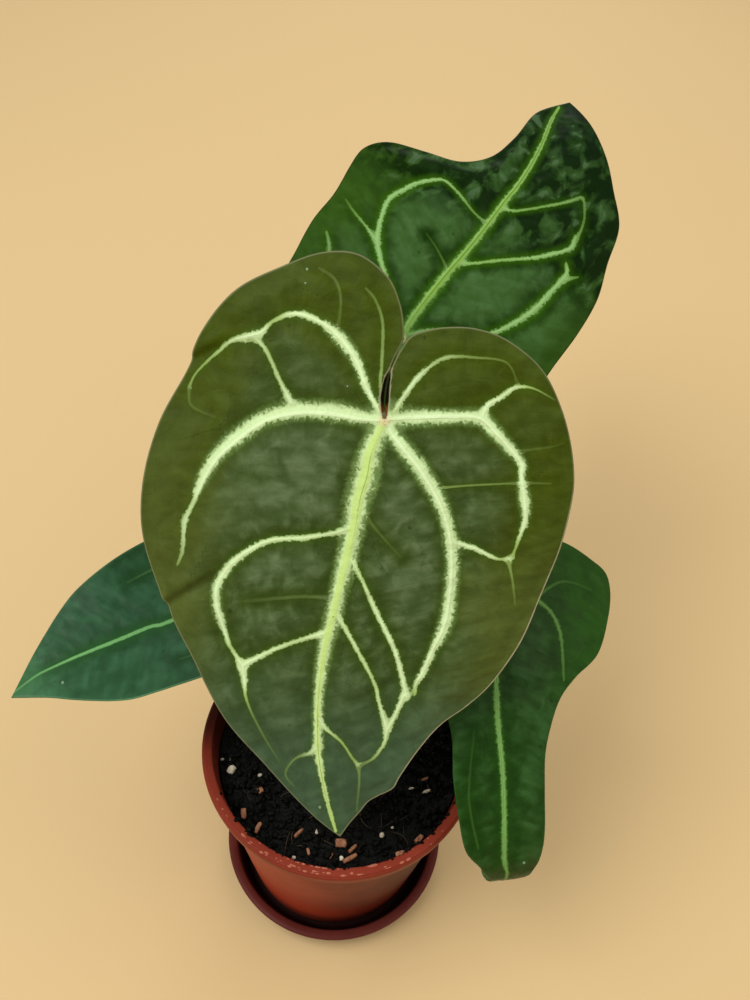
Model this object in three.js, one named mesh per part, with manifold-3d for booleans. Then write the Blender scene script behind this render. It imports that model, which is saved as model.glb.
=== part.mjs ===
// A velvet-leaved anthurium with four heart-shaped leaves, in a round nursery pot on a saucer.
// Millimetres, +Z up. The origin is the middle of the saucer's underside, on the pot's axis.
// The plant's front faces -Y. Every leaf is laid out flat first: a runs from the place where the
// stalk joins towards the tip (negative in the two lobes), and b runs to the leaf's own left.

import * as THREE from 'three';
import { mergeVertices } from 'three/addons/utils/BufferGeometryUtils.js';
import Module from 'manifold-3d';

const wasm = await Module();
wasm.setup();

// Driving dimensions
const GAP = 0.3;

const POT_RIM_RADIUS = 60;
const POT_TOP = 108;
const POT_RIM_BAND = 9.4;
const POT_RIM_TAPER = 1.4;
const POT_RIM_LEDGE = 3;
const POT_RIM_WIDTH = 4.7;
const POT_BASE_RADIUS = 42;
const POT_WALL = 2;
const POT_FLOOR = 2.4;
const POT_FOOT = 1.2;
const DRAIN_HOLES = 6;
const DRAIN_HOLE_RADIUS = 4;
const DRAIN_CIRCLE_RADIUS = 25;
const ROUND_SIDES = 44;

const SAUCER_RADIUS = 53.2;
const SAUCER_BASE_RADIUS = 46;
const SAUCER_HEIGHT = 13.7;
const SAUCER_FLOOR = 2.5;
const SAUCER_WALL = 1.8;
const SAUCER_LIP_WIDTH = 4.5;
const SAUCER_LIP_HEIGHT = 3;

const SOIL_TOP = 97;
const SOIL_LUMPS = 1.3;
const SOIL_SECTORS = 30;
const BARK_CHIPS = 20;
const PERLITE_BITS = 14;

const CROWN_FOOT = 84;
const CROWN_FOOT_RADIUS = 9;
const CROWN_RADIUS = 11;
const CROWN_TOP = 116;
const STALK_RADIUS = 2.4;
const STALK_SIDES = 8;
const STALK_STEPS = 12;
const STALK_SOCKET = 4;
const JOINT_RADIUS = 2.8;
const JOINT_BOSS_RADIUS = 3.2;
const JOINT_BOSS_DEPTH = 2.2;
const JOINT_BOSS_RISE = 1.2;

const BLADE_MIDDLE = 1.1;
const BLADE_MARGIN = 0.7;
const RAYS_A_SIDE = 14;
const RINGS = [0.2, 0.45, 0.7, 0.88, 1];
const RIB_STEP = 14;
const MAIN_RIB = { width: 1.7, rise: 1.0, depth: 2.0, end: 0.5 };
const SIDE_RIB = { width: 1.3, rise: 0.9, depth: 1.5, end: 0.55 };
const FINE_RIB = { width: 0.9, rise: 0.75, depth: 1.0, end: 0.7 };

// Each leaf: where its stalk joins, how it is held (degrees), how it bends, and its flat outline.
// heading turns from +X towards +Y, dip is downward, roll lifts the leaf's own left side, sway
// bends the leaf to its left on the way to the tip, droop bends the tip down and lobeDroop the
// lobes. arch is the radius of the bend across the leaf: positive turns both edges down.
const LEAVES = [
  {
    name: 'front',
    colour: '#54623b',
    junction: [6, 49, 255],
    heading: -113,
    dip: 46,
    roll: -16,
    length: 164,
    sway: 28,
    droop: 8,
    lobeDroop: 6,
    curl: 0,
    curlFrom: 0.8,
    arch: 564,
    waves: [
      { side: 1, height: 2, pitch: 75, start: 40 },
      { side: -1, height: 2, pitch: 62, start: 200 },
    ],
    left: [
      [164.7, 2.3], [159, 7], [154.6, 11.2], [150.5, 14.7], [148.2, 18.7], [145.3, 24.6], [140, 27.7],
      [127, 36], [117, 43.5], [108, 53], [96, 61.5], [75, 70], [54, 74], [32, 76], [13, 75], [-5, 72],
      [-21, 65], [-34, 55], [-43, 43], [-46, 28], [-44, 16], [-39, 6], [-31, -3],
    ],
    right: [
      [164.7, 2.3], [157.4, -4.6], [149, -11.4], [133, -24], [117, -38], [96, -51], [80, -63], [62, -74], [45, -78],
      [25, -78], [8, -74], [-5, -73], [-20, -67], [-32, -56], [-42, -45], [-47, -33], [-45, -20],
      [-39, -11], [-30, -5],
    ],
    ribs: [
      { kind: MAIN_RIB, path: [[0, 0], [33, 1], [67, 0], [99, -2], [131, -3], [146, -1.2], [160, 0.8]] },
      { kind: SIDE_RIB, path: [[0, 0], [-6, 10], [-13, 31], [-1, 51], [17, 60], [37, 60]] },
      { kind: SIDE_RIB, path: [[0, 0], [14, 19], [30, 33], [53, 41], [77, 40], [105, 31]] },
      { kind: SIDE_RIB, path: [[46, 1], [74, 19], [97, 29], [106, 31]] },
      { kind: SIDE_RIB, path: [[70, 0], [95, 14], [121, 23]] },
      { kind: SIDE_RIB, path: [[105, 31], [121, 23], [134, 13], [144, 11]] },
      { kind: SIDE_RIB, path: [[0, 0], [-16, -19], [-23, -35], [-17, -49], [-5, -60], [12, -70]] },
      { kind: SIDE_RIB, path: [[0, 0], [7, -32], [21, -48], [41, -56], [60, -59]] },
      { kind: SIDE_RIB, path: [[40, 1], [50, -22], [62, -40], [77, -44], [95, -32], [113, -28]] },
      { kind: SIDE_RIB, path: [[80, -1], [90, -21], [95, -32]] },
      { kind: FINE_RIB, path: [[36, 36], [39, 51], [52, 64]] },
      { kind: FINE_RIB, path: [[112, -2], [123, 4], [134, 13]] },
      { kind: FINE_RIB, path: [[0, 0], [-16, 3], [-30, 12], [-37, 30]] },
      { kind: FINE_RIB, path: [[-14, 32], [-27, 35], [-33, 45]] },
      { kind: FINE_RIB, path: [[-14, -51], [-2, -42], [7, -33]] },
      { kind: FINE_RIB, path: [[0, 0], [-16, -5], [-33, -17], [-38, -25]] },
      { kind: FINE_RIB, path: [[126, -3], [130, -10], [134, -16]] },
    ],
    stalk: [[1, -6, 106], [3, -4, 142], [6, 14, 192], [7, 36, 232]],
  },
  {
    name: 'back',
    colour: '#2f4e2b',
    junction: [10, 138, 220],
    heading: 42,
    dip: -28,
    roll: 25,
    length: 162,
    sway: 27,
    droop: 31,
    lobeDroop: 6,
    curl: 0,
    curlFrom: 0.8,
    arch: 557,
    waves: [
      { side: 1, height: 1.8, pitch: 60, start: 0 },
      { side: -1, height: 1.8, pitch: 70, start: 90 },
    ],
    left: [
      [162, 0], [145, 13], [121, 17], [103, 22], [91, 33], [86, 49], [80, 65], [68, 73], [53, 73],
      [31, 69], [12, 67], [-5, 63], [-23, 57], [-38, 45], [-43, 30], [-42, 17], [-35, 6], [-26, 1],
    ],
    right: [
      [162, 0], [151, -13], [134, -26], [118, -36], [103, -46], [84, -50], [68, -55], [52, -57],
      [34, -58], [16, -61], [-2, -62], [-21, -57], [-36, -46], [-43, -30], [-41, -15], [-34, -5],
      [-26, -1],
    ],
    ribs: [
      { kind: MAIN_RIB, path: [[0, 0], [34, 2], [70, 2], [99, 1], [132, 3], [158, 1]] },
      { kind: SIDE_RIB, path: [[0, 0], [13, 18], [24, 38], [43, 47], [61, 45], [78, 31]] },
      { kind: SIDE_RIB, path: [[66, 2], [73, 23], [78, 31]] },
      { kind: SIDE_RIB, path: [[82, 1], [94, -14], [106, -24], [98, -30], [84, -32]] },
      { kind: SIDE_RIB, path: [[47, 2], [61, -14], [75, -27], [86, -32]] },
      { kind: SIDE_RIB, path: [[0, 0], [9, -4], [25, -24], [41, -33], [59, -36], [72, -35]] },
      { kind: FINE_RIB, path: [[26, 39], [29, 48], [34, 61]] },
      { kind: FINE_RIB, path: [[0, 0], [-14, 14], [-20, 32], [-8, 48]] },
      { kind: FINE_RIB, path: [[0, 0], [-14, -14], [-20, -32], [-8, -48]] },
    ],
    stalk: [[2, 8, 106], [8, 52, 134], [12, 104, 168]],
  },
  {
    name: 'left',
    colour: '#2b5733',
    junction: [-40, 50, 150],
    heading: 216,
    dip: -6,
    roll: 0,
    length: 112,
    sway: 0,
    droop: 14,
    lobeDroop: 6,
    curl: 0,
    curlFrom: 0.8,
    arch: -77,
    waves: [
      { side: 1, height: 1.2, pitch: 56, start: 0 },
      { side: -1, height: 1.2, pitch: 62, start: 120 },
    ],
    left: [
      [112, 0], [100, 8], [93, 14], [85, 21], [78, 27], [70, 32], [54, 36], [36, 39], [17, 40],
      [0, 39], [-13, 35], [-23, 26], [-28, 16], [-26, 7], [-18, 1],
    ],
    right: [
      [112, 0], [100, -11], [90, -19], [80, -26], [70, -31], [52, -36], [34, -39], [14, -41],
      [-2, -40], [-16, -36], [-26, -28], [-29, -17], [-27, -8], [-18, -1],
    ],
    ribs: [
      { kind: MAIN_RIB, path: [[0, 0], [42, 0], [74, -2], [108, -1]] },
      { kind: FINE_RIB, path: [[0, 0], [11, 16], [29, 24], [49, 22]] },
      { kind: FINE_RIB, path: [[0, 0], [11, -16], [29, -25], [52, -24]] },
      { kind: FINE_RIB, path: [[0, 0], [-11, 13], [-9, 25], [2, 31]] },
      { kind: FINE_RIB, path: [[0, 0], [-11, -13], [-9, -25], [2, -31]] },
    ],
    stalk: [[-7, 1, 105], [-18, 15, 123], [-32, 36, 138]],
  },
  {
    name: 'low',
    colour: '#2a4a18',
    junction: [58, 29, 169],
    heading: -79,
    dip: 20,
    roll: -4,
    length: 133,
    sway: 0,
    droop: 46,
    lobeDroop: 8,
    curl: 140,
    curlFrom: 0.66,
    arch: 153,
    waves: [{ side: 1, height: 1.5, pitch: 62, start: 0 }],
    left: [
      [133, 0], [127, 4.5], [119, 8.5], [111, 12], [106, 13], [101, 14.5], [93, 15.7], [85, 16],
      [71, 15.8], [56, 16.5], [44, 20], [34, 25], [26, 33], [17, 45], [2, 54], [-11, 60], [-21, 60],
      [-27, 52], [-34, 38], [-36, 22], [-31, 8], [-23, 1],
    ],
    right: [
      [133, 0], [127, -4], [120, -4.5], [113, -4], [107, -7], [101, -11], [93, -17], [79, -20],
      [63, -22], [46, -22], [33, -25], [25, -31], [15, -38], [0, -43], [-15, -42], [-26, -33],
      [-31, -20], [-29, -7], [-23, -1],
    ],
    ribs: [
      { kind: MAIN_RIB, path: [[0, 0], [34, -3], [63, -2], [96, -1], [108, 2], [120, 2]] },
      { kind: SIDE_RIB, path: [[0, 0], [-8, 14], [-3, 24], [8, 28], [27, 27]] },
      { kind: FINE_RIB, path: [[0, 0], [-6, -12], [2, -23], [19, -23], [33, -18]] },
      { kind: FINE_RIB, path: [[-7, 18], [-15, 33], [-12, 48]] },
    ],
    stalk: [[7.5, -1, 105], [24, 8, 132], [46, 22, 154]],
  },
];

const radians = THREE.MathUtils.degToRad;

// Booleans
function toSolid(geometry) {
  const bare = geometry.clone();
  bare.deleteAttribute('normal');
  bare.deleteAttribute('uv');
  const merged = mergeVertices(bare, 1e-5);
  return new wasm.Manifold(new wasm.Mesh({
    numProp: 3,
    vertProperties: merged.attributes.position.array,
    triVerts: Uint32Array.from(merged.index.array),
  }));
}

function toGeometry(solid) {
  const mesh = solid.getMesh();
  const geometry = new THREE.BufferGeometry();
  geometry.setAttribute('position', new THREE.BufferAttribute(mesh.vertProperties, 3));
  geometry.setIndex(new THREE.BufferAttribute(mesh.triVerts, 1));
  return geometry;
}

function join(geometries) {
  return toGeometry(geometries.map(toSolid).reduce((whole, part) => whole.add(part)));
}

function cut(geometry, tools) {
  return toGeometry(tools.map(toSolid).reduce((whole, tool) => whole.subtract(tool), toSolid(geometry)));
}

// Meshes from points
function meshOf(points, triangles) {
  const geometry = new THREE.BufferGeometry();
  geometry.setAttribute('position', new THREE.Float32BufferAttribute(points.flatMap((p) => [p.x, p.y, p.z]), 3));
  geometry.setIndex(triangles.flat());
  return geometry;
}

// A closed skin over rings of points that all turn the same way, with a point at either end.
function skin(first, rings, last) {
  const count = rings[0].length;
  const points = [first, ...rings.flat(), last];
  const end = points.length - 1;
  const at = (row, k) => 1 + row * count + (k % count);
  const triangles = [];
  for (let k = 0; k < count; k += 1) {
    triangles.push([0, at(0, k + 1), at(0, k)]);
    for (let row = 0; row + 1 < rings.length; row += 1) {
      triangles.push([at(row, k), at(row, k + 1), at(row + 1, k + 1)]);
      triangles.push([at(row, k), at(row + 1, k + 1), at(row + 1, k)]);
    }
    triangles.push([end, at(rings.length - 1, k), at(rings.length - 1, k + 1)]);
  }
  return meshOf(points, triangles);
}

function lathe(profile, sides = ROUND_SIDES) {
  const geometry = new THREE.LatheGeometry(profile.map(([r, z]) => new THREE.Vector2(r, z)), sides);
  return geometry.rotateX(Math.PI / 2);
}

function seededRandom(seed) {
  let state = seed;
  return () => {
    state = (state * 16807) % 2147483647;
    return state / 2147483647;
  };
}

// The pot: a tapering shell with a thick rim band, standing on a low foot ring.
const POT_BOTTOM = SAUCER_FLOOR + GAP;
const POT_BAND_BOTTOM = POT_TOP - POT_RIM_BAND;
const POT_SHOULDER_RADIUS = POT_RIM_RADIUS - POT_RIM_TAPER - POT_RIM_LEDGE;

function potOuterRadius(z) {
  const share = (z - POT_BOTTOM) / (POT_BAND_BOTTOM - POT_BOTTOM);
  return THREE.MathUtils.lerp(POT_BASE_RADIUS, POT_SHOULDER_RADIUS, share);
}

function potGeometry() {
  const floorTop = POT_BOTTOM + POT_FOOT + POT_FLOOR;
  const footInner = POT_BASE_RADIUS - 4;
  const shell = lathe([
    [0, POT_BOTTOM + POT_FOOT],
    [footInner - POT_FOOT, POT_BOTTOM + POT_FOOT],
    [footInner, POT_BOTTOM],
    [POT_BASE_RADIUS - 1, POT_BOTTOM],
    [POT_BASE_RADIUS, POT_BOTTOM + 1],
    [POT_SHOULDER_RADIUS, POT_BAND_BOTTOM],
    [POT_RIM_RADIUS - POT_RIM_TAPER, POT_BAND_BOTTOM + 0.6],
    [POT_RIM_RADIUS, POT_TOP - 1],
    [POT_RIM_RADIUS - 1, POT_TOP],
    [POT_RIM_RADIUS - POT_RIM_WIDTH, POT_TOP],
    [POT_SHOULDER_RADIUS - POT_WALL, POT_BAND_BOTTOM],
    [potOuterRadius(floorTop) - POT_WALL, floorTop],
    [0, floorTop],
  ]);
  const drains = Array.from({ length: DRAIN_HOLES }, (_, k) => {
    const turn = (2 * Math.PI * k) / DRAIN_HOLES;
    return new THREE.CylinderGeometry(DRAIN_HOLE_RADIUS, DRAIN_HOLE_RADIUS, 12, 16)
      .rotateX(Math.PI / 2)
      .translate(DRAIN_CIRCLE_RADIUS * Math.cos(turn), DRAIN_CIRCLE_RADIUS * Math.sin(turn), floorTop);
  });
  return cut(shell, drains);
}

// The saucer: a shallow dish whose wall leans out to a rolled lip.
function saucerGeometry() {
  const lipBottom = SAUCER_HEIGHT - SAUCER_LIP_HEIGHT;
  const lipInner = SAUCER_RADIUS - SAUCER_LIP_WIDTH;
  return lathe([
    [0, 0],
    [SAUCER_BASE_RADIUS - 0.8, 0],
    [SAUCER_BASE_RADIUS, 0.8],
    [lipInner + SAUCER_WALL, lipBottom],
    [SAUCER_RADIUS - 0.5, lipBottom + 0.4],
    [SAUCER_RADIUS, SAUCER_HEIGHT - 1],
    [SAUCER_RADIUS - 1, SAUCER_HEIGHT],
    [lipInner + 0.6, SAUCER_HEIGHT],
    [lipInner, SAUCER_HEIGHT - 0.8],
    [SAUCER_BASE_RADIUS - SAUCER_WALL + 1, SAUCER_FLOOR + 1],
    [SAUCER_BASE_RADIUS - SAUCER_WALL, SAUCER_FLOOR],
    [0, SAUCER_FLOOR],
  ]);
}

// The potting mix: fills the pot, lumpy on top, with bark chips and perlite bedded in it.
function soilGeometry() {
  const random = seededRandom(41);
  const bottom = POT_BOTTOM + POT_FOOT + POT_FLOOR + GAP;
  const edge = (z) => potOuterRadius(z) - POT_WALL - GAP;
  const ring = (radius, z, lumps) => Array.from({ length: SOIL_SECTORS }, (_, k) => {
    const turn = (2 * Math.PI * k) / SOIL_SECTORS;
    const height = z + lumps * (2 * random() - 1);
    return new THREE.Vector3(radius * Math.cos(turn), radius * Math.sin(turn), height);
  });
  const rimZ = SOIL_TOP - 1;
  const body = skin(
    new THREE.Vector3(0, 0, bottom),
    [
      ring(edge(bottom) - 1, bottom, 0),
      ring(edge(rimZ) - 0.2, rimZ, 0.6),
      ring(46, SOIL_TOP - 0.4, SOIL_LUMPS),
      ring(37, SOIL_TOP, SOIL_LUMPS),
      ring(27, SOIL_TOP + 0.5, SOIL_LUMPS),
      ring(16, SOIL_TOP + 1.4, 0.6),
    ],
    new THREE.Vector3(0, 0, SOIL_TOP + 1.5),
  );
  const scatter = (geometry, sink) => {
    const turn = 2 * Math.PI * random();
    const radius = 16 + 31 * Math.sqrt(random());
    geometry.rotateX(0.7 * random()).rotateY(0.7 * random()).rotateZ(2 * Math.PI * random());
    return geometry.translate(radius * Math.cos(turn), radius * Math.sin(turn), SOIL_TOP + sink);
  };
  const bark = Array.from({ length: BARK_CHIPS }, () => (
    scatter(new THREE.BoxGeometry(3.5 + 3 * random(), 2.4 + random(), 2.6), -0.4)));
  const perlite = Array.from({ length: PERLITE_BITS }, () => (
    scatter(new THREE.OctahedronGeometry(1.8 + 0.8 * random()), -0.4)));
  const hole = new THREE.CylinderGeometry(CROWN_FOOT_RADIUS + GAP, CROWN_FOOT_RADIUS + GAP, 30, 20)
    .rotateX(Math.PI / 2)
    .translate(0, 0, CROWN_FOOT - GAP + 15);
  return cut(join([body, ...bark, ...perlite]), [hole]);
}

// The way a flat leaf lies in space: gives the point over (a, b), raised by lift along the surface.
function leafSurface(leaf) {
  const heading = radians(leaf.heading);
  const dip = radians(leaf.dip);
  const roll = radians(leaf.roll);
  const along = new THREE.Vector3(
    Math.cos(heading) * Math.cos(dip),
    Math.sin(heading) * Math.cos(dip),
    -Math.sin(dip),
  );
  const level = new THREE.Vector3(-Math.sin(heading), Math.cos(heading), 0);
  const upright = along.clone().cross(level);
  const across = level.clone().multiplyScalar(Math.cos(roll)).addScaledVector(upright, Math.sin(roll));
  const normal = along.clone().cross(across);
  const junction = new THREE.Vector3(...leaf.junction);
  const widest = 0.48 * leaf.length;

  const pitchAt = (share) => {
    const lobe = share < 0 ? leaf.lobeDroop * (share / 0.3) : leaf.droop * share;
    const curled = Math.max(0, (share - leaf.curlFrom) / (1 - leaf.curlFrom));
    return radians(lobe + leaf.curl * curled * curled);
  };
  const tangentAt = (share) => {
    const pitch = pitchAt(share);
    const swing = radians(leaf.sway * share);
    return new THREE.Vector3(Math.cos(pitch) * Math.cos(swing), Math.cos(pitch) * Math.sin(swing), -Math.sin(pitch));
  };
  // The spine is added up in short steps from the junction, forwards and backwards.
  const steps = 160;
  const reach = (target) => {
    const spot = new THREE.Vector3();
    const count = Math.max(1, Math.ceil((Math.abs(target) / leaf.length) * steps));
    for (let k = 0; k < count; k += 1) {
      spot.addScaledVector(tangentAt(((k + 0.5) / count) * (target / leaf.length)), target / count);
    }
    return spot;
  };
  const point = (a, b) => {
    const share = a / leaf.length;
    const swing = radians(leaf.sway * share);
    const tangent = tangentAt(share);
    const sideways = new THREE.Vector3(-Math.sin(swing), Math.cos(swing), 0);
    const up = tangent.clone().cross(sideways);
    let height = -leaf.arch * (1 - Math.cos(b / leaf.arch));
    for (const wave of leaf.waves) {
      if (wave.side * b > 0) {
        const weight = (b / widest) ** 2;
        height += wave.height * weight * Math.sin((2 * Math.PI * a) / wave.pitch + radians(wave.start));
      }
    }
    const flat = reach(a).addScaledVector(sideways, leaf.arch * Math.sin(b / leaf.arch)).addScaledVector(up, height);
    return junction.clone()
      .addScaledVector(along, flat.x)
      .addScaledVector(across, flat.y)
      .addScaledVector(normal, flat.z);
  };
  const normalAt = (a, b) => {
    const small = 0.5;
    const onward = point(a + small, b).sub(point(a - small, b));
    const leftward = point(a, b + small).sub(point(a, b - small));
    return onward.cross(leftward).normalize();
  };
  return (a, b, lift = 0) => point(a, b).addScaledVector(normalAt(a, b), lift);
}

// The blade's facets: rays from the junction out to the outline, crossed by rings. The grid also
// gives the point of its own faceted middle face over (a, b), for the ribs to run along.
function bladeGrid(leaf) {
  const surface = leafSurface(leaf);
  const edgePoints = (outline) => {
    const curve = new THREE.SplineCurve(outline.map(([a, b]) => new THREE.Vector2(a, b)));
    return curve.getSpacedPoints(RAYS_A_SIDE);
  };
  const outline = [...edgePoints(leaf.right).reverse(), ...edgePoints(leaf.left).slice(1)];
  const middle = [0, ...RINGS].map((share) => outline.map((spot) => surface(spot.x * share, spot.y * share)));
  const shareOf = (from, to, spot) => {
    const area = from.cross(to);
    return [spot.cross(to) / area, from.cross(spot) / area];
  };
  const onFacets = (a, b) => {
    const spot = new THREE.Vector2(a, b);
    for (let ray = 0; ray + 1 < outline.length; ray += 1) {
      const [u, v] = shareOf(outline[ray], outline[ray + 1], spot);
      const share = u + v;
      if (u >= -1e-9 && v >= -1e-9 && share <= 1) {
        const outer = Math.max(0, RINGS.findIndex((edge) => edge >= share));
        const inner = outer === 0 ? 0 : RINGS[outer - 1];
        const turn = share > 0 ? v / share : 0;
        const low = middle[outer][ray].clone().lerp(middle[outer][ray + 1], turn);
        const high = middle[outer + 1][ray].clone().lerp(middle[outer + 1][ray + 1], turn);
        return low.lerp(high, (share - inner) / (RINGS[outer] - inner));
      }
    }
    return surface(a, b);
  };
  const lifted = (a, b, lift) => {
    const up = surface(a, b, 1).sub(surface(a, b));
    return onFacets(a, b).addScaledVector(up, lift);
  };
  return { surface, outline, lifted };
}

// One blade: the grid's facets on both faces, closed along the outline and the slit between lobes.
function bladeGeometry({ surface, outline }) {
  const rays = outline.length;
  const perFace = 1 + rays * RINGS.length;
  const points = [];
  for (const face of [1, -1]) {
    points.push(surface(0, 0, (face * BLADE_MIDDLE) / 2));
    for (const share of RINGS) {
      const lift = (face * THREE.MathUtils.lerp(BLADE_MIDDLE, BLADE_MARGIN, share)) / 2;
      for (const spot of outline) {
        points.push(surface(spot.x * share, spot.y * share, lift));
      }
    }
  }
  const top = (ring, ray) => (ring < 0 ? 0 : 1 + ring * rays + ray);
  const triangles = [];
  const face = (i, j, k) => {
    triangles.push([i, j, k]);
    triangles.push([i + perFace, k + perFace, j + perFace]);
  };
  for (let ray = 0; ray + 1 < rays; ray += 1) {
    face(0, top(0, ray), top(0, ray + 1));
    for (let ring = 0; ring + 1 < RINGS.length; ring += 1) {
      face(top(ring, ray), top(ring + 1, ray), top(ring + 1, ray + 1));
      face(top(ring, ray), top(ring + 1, ray + 1), top(ring, ray + 1));
    }
  }
  const wall = (i, j) => {
    triangles.push([i, i + perFace, j + perFace]);
    triangles.push([i, j + perFace, j]);
  };
  const last = RINGS.length - 1;
  for (let ray = 0; ray + 1 < rays; ray += 1) {
    wall(top(last, ray), top(last, ray + 1));
  }
  for (let ring = -1; ring < last; ring += 1) {
    wall(top(ring, 0), top(ring + 1, 0));
    wall(top(ring + 1, rays - 1), top(ring, rays - 1));
  }
  return meshOf(points, triangles);
}

// One rib: a four-sided ridge that follows a vein, standing out above and below the blade.
function ribGeometry({ lifted }, { kind, path }) {
  const curve = new THREE.SplineCurve(path.map(([a, b]) => new THREE.Vector2(a, b)));
  const steps = Math.max(2, Math.round(curve.getLength() / RIB_STEP));
  const rings = [];
  for (let k = 0; k <= steps; k += 1) {
    const share = k / steps;
    const spot = curve.getPointAt(share);
    const way = curve.getTangentAt(share);
    const size = THREE.MathUtils.lerp(1, kind.end, share);
    const half = 0.5 * kind.width * size;
    rings.push([
      lifted(spot.x, spot.y, kind.rise * Math.max(size, 0.8)),
      lifted(spot.x + way.y * half, spot.y - way.x * half, 0),
      lifted(spot.x, spot.y, -kind.depth * size),
      lifted(spot.x - way.y * half, spot.y + way.x * half, 0),
    ]);
  }
  const middle = (ring) => ring[0].clone().lerp(ring[2], 0.5);
  return skin(middle(rings[0]), rings, middle(rings[steps]));
}

function turnedTo(geometry, from, to, spot) {
  const turn = new THREE.Quaternion().setFromUnitVectors(from, to);
  return geometry.applyQuaternion(turn).translate(spot.x, spot.y, spot.z);
}

function leafGeometry(leaf) {
  const grid = bladeGrid(leaf);
  const { surface } = grid;
  const underside = surface(0, 0, -1).sub(surface(0, 0, 0)).normalize();
  const boss = turnedTo(
    new THREE.CylinderGeometry(JOINT_BOSS_RADIUS, JOINT_BOSS_RADIUS, JOINT_BOSS_DEPTH + JOINT_BOSS_RISE, 10),
    new THREE.Vector3(0, -1, 0),
    underside,
    surface(0, 0, (JOINT_BOSS_RISE - JOINT_BOSS_DEPTH) / 2),
  );
  const ribs = leaf.ribs.map((rib) => ribGeometry(grid, rib));
  return join([bladeGeometry(grid), boss, ...ribs]);
}

// The leaf stalk's line: straight out of the crown, then up to just under the blade.
function stalkPath(leaf) {
  const surface = leafSurface(leaf);
  const end = surface(0, 0, -(JOINT_BOSS_DEPTH + GAP + JOINT_RADIUS));
  const [first, second, ...rest] = leaf.stalk.map((spot) => new THREE.Vector3(...spot));
  const way = second.clone().sub(first).normalize();
  const inside = first.clone().addScaledVector(way, -STALK_SOCKET);
  const outside = first.clone().addScaledVector(way, 2 * STALK_SOCKET);
  const line = [inside, first, outside, second, ...rest, end];
  return { inside, way, end, curve: new THREE.CatmullRomCurve3(line, false, 'centripetal') };
}

function stalkGeometry(leaf) {
  const { curve, end } = stalkPath(leaf);
  const section = new THREE.Shape();
  section.absarc(0, 0, STALK_RADIUS, 0, 2 * Math.PI, false);
  const tube = new THREE.ExtrudeGeometry(section, {
    steps: STALK_STEPS,
    curveSegments: STALK_SIDES / 2,
    extrudePath: curve,
    bevelEnabled: false,
  });
  const joint = new THREE.SphereGeometry(JOINT_RADIUS, 8, 6).translate(end.x, end.y, end.z);
  return join([tube, joint]);
}

// The crown: the short stem that the leaf stalks stand in, its foot set in the potting mix.
function crownGeometry() {
  const stem = lathe([
    [0, CROWN_FOOT],
    [CROWN_FOOT_RADIUS - 1.5, CROWN_FOOT],
    [CROWN_FOOT_RADIUS, CROWN_FOOT + 3],
    [CROWN_FOOT_RADIUS, SOIL_TOP + 3],
    [CROWN_RADIUS, SOIL_TOP + 6],
    [CROWN_RADIUS - 1, SOIL_TOP + 11],
    [CROWN_RADIUS - 4, CROWN_TOP - 3],
    [0, CROWN_TOP],
  ], 20);
  const sockets = LEAVES.map((leaf) => {
    const { inside, way } = stalkPath(leaf);
    const radius = STALK_RADIUS + 2 * GAP;
    const length = 40;
    const middle = inside.clone().addScaledVector(way, length / 2 - GAP);
    return turnedTo(new THREE.CylinderGeometry(radius, radius, length, 12), new THREE.Vector3(0, 1, 0), way, middle);
  });
  return cut(stem, sockets);
}

const plant = new THREE.Group();

function addPiece(name, geometry, color, roughness) {
  const material = new THREE.MeshStandardMaterial({ color, roughness, metalness: 0 });
  const mesh = new THREE.Mesh(geometry, material);
  mesh.name = name;
  plant.add(mesh);
}

addPiece('saucer', saucerGeometry(), '#6f3a2c', 0.4);
addPiece('pot', potGeometry(), '#8a4630', 0.4);
addPiece('soil', soilGeometry(), '#1a1711', 0.9);
addPiece('crown', crownGeometry(), '#5a5a2c', 0.7);
for (const leaf of LEAVES) {
  addPiece(`stalk_${leaf.name}`, stalkGeometry(leaf), '#6d7a34', 0.5);
  addPiece(`leaf_${leaf.name}`, leafGeometry(leaf), leaf.colour, 0.5);
}

export default plant;
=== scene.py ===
"""A potted velvet-leaved anthurium, dressed around its solid model.

Lengths are in millimetres and angles in degrees until a mesh, a light or the camera is made.
+Z is up and the plant's front faces -Y. A leaf is laid out flat first: a runs from the place
where the stalk joins towards the tip (negative in the two lobes), and b to the leaf's own left.
"""

import logging
import math
from collections.abc import Iterable, Mapping, Sequence
from dataclasses import dataclass
from enum import Enum

import bpy
import numpy as np
from mathutils import Matrix, Vector, noise
from mathutils.geometry import delaunay_2d_cdt


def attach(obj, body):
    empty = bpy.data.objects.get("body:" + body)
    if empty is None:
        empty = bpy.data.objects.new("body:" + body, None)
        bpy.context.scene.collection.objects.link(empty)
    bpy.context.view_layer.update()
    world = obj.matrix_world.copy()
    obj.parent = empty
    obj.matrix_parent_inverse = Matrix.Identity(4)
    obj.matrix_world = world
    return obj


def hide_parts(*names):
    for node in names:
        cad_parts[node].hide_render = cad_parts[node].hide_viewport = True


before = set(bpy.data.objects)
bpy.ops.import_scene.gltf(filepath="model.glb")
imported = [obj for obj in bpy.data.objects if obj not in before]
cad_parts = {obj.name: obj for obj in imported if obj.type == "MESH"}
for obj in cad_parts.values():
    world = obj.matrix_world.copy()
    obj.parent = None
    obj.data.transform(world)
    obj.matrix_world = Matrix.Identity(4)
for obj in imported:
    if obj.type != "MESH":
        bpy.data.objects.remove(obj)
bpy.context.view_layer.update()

LOG = logging.getLogger("anthurium")
MM = 0.001
BODY = "root"

Spot = tuple[float, float]
Place = tuple[float, float, float]
Faces = list[tuple[int, ...]]
Socket = bpy.types.NodeSocket


# Lines and flat shapes


class Pace(Enum):
    """How a curve runs between its points: evenly, or in step with their distances."""

    EVEN = 0.0
    MEASURED = 0.5


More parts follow.
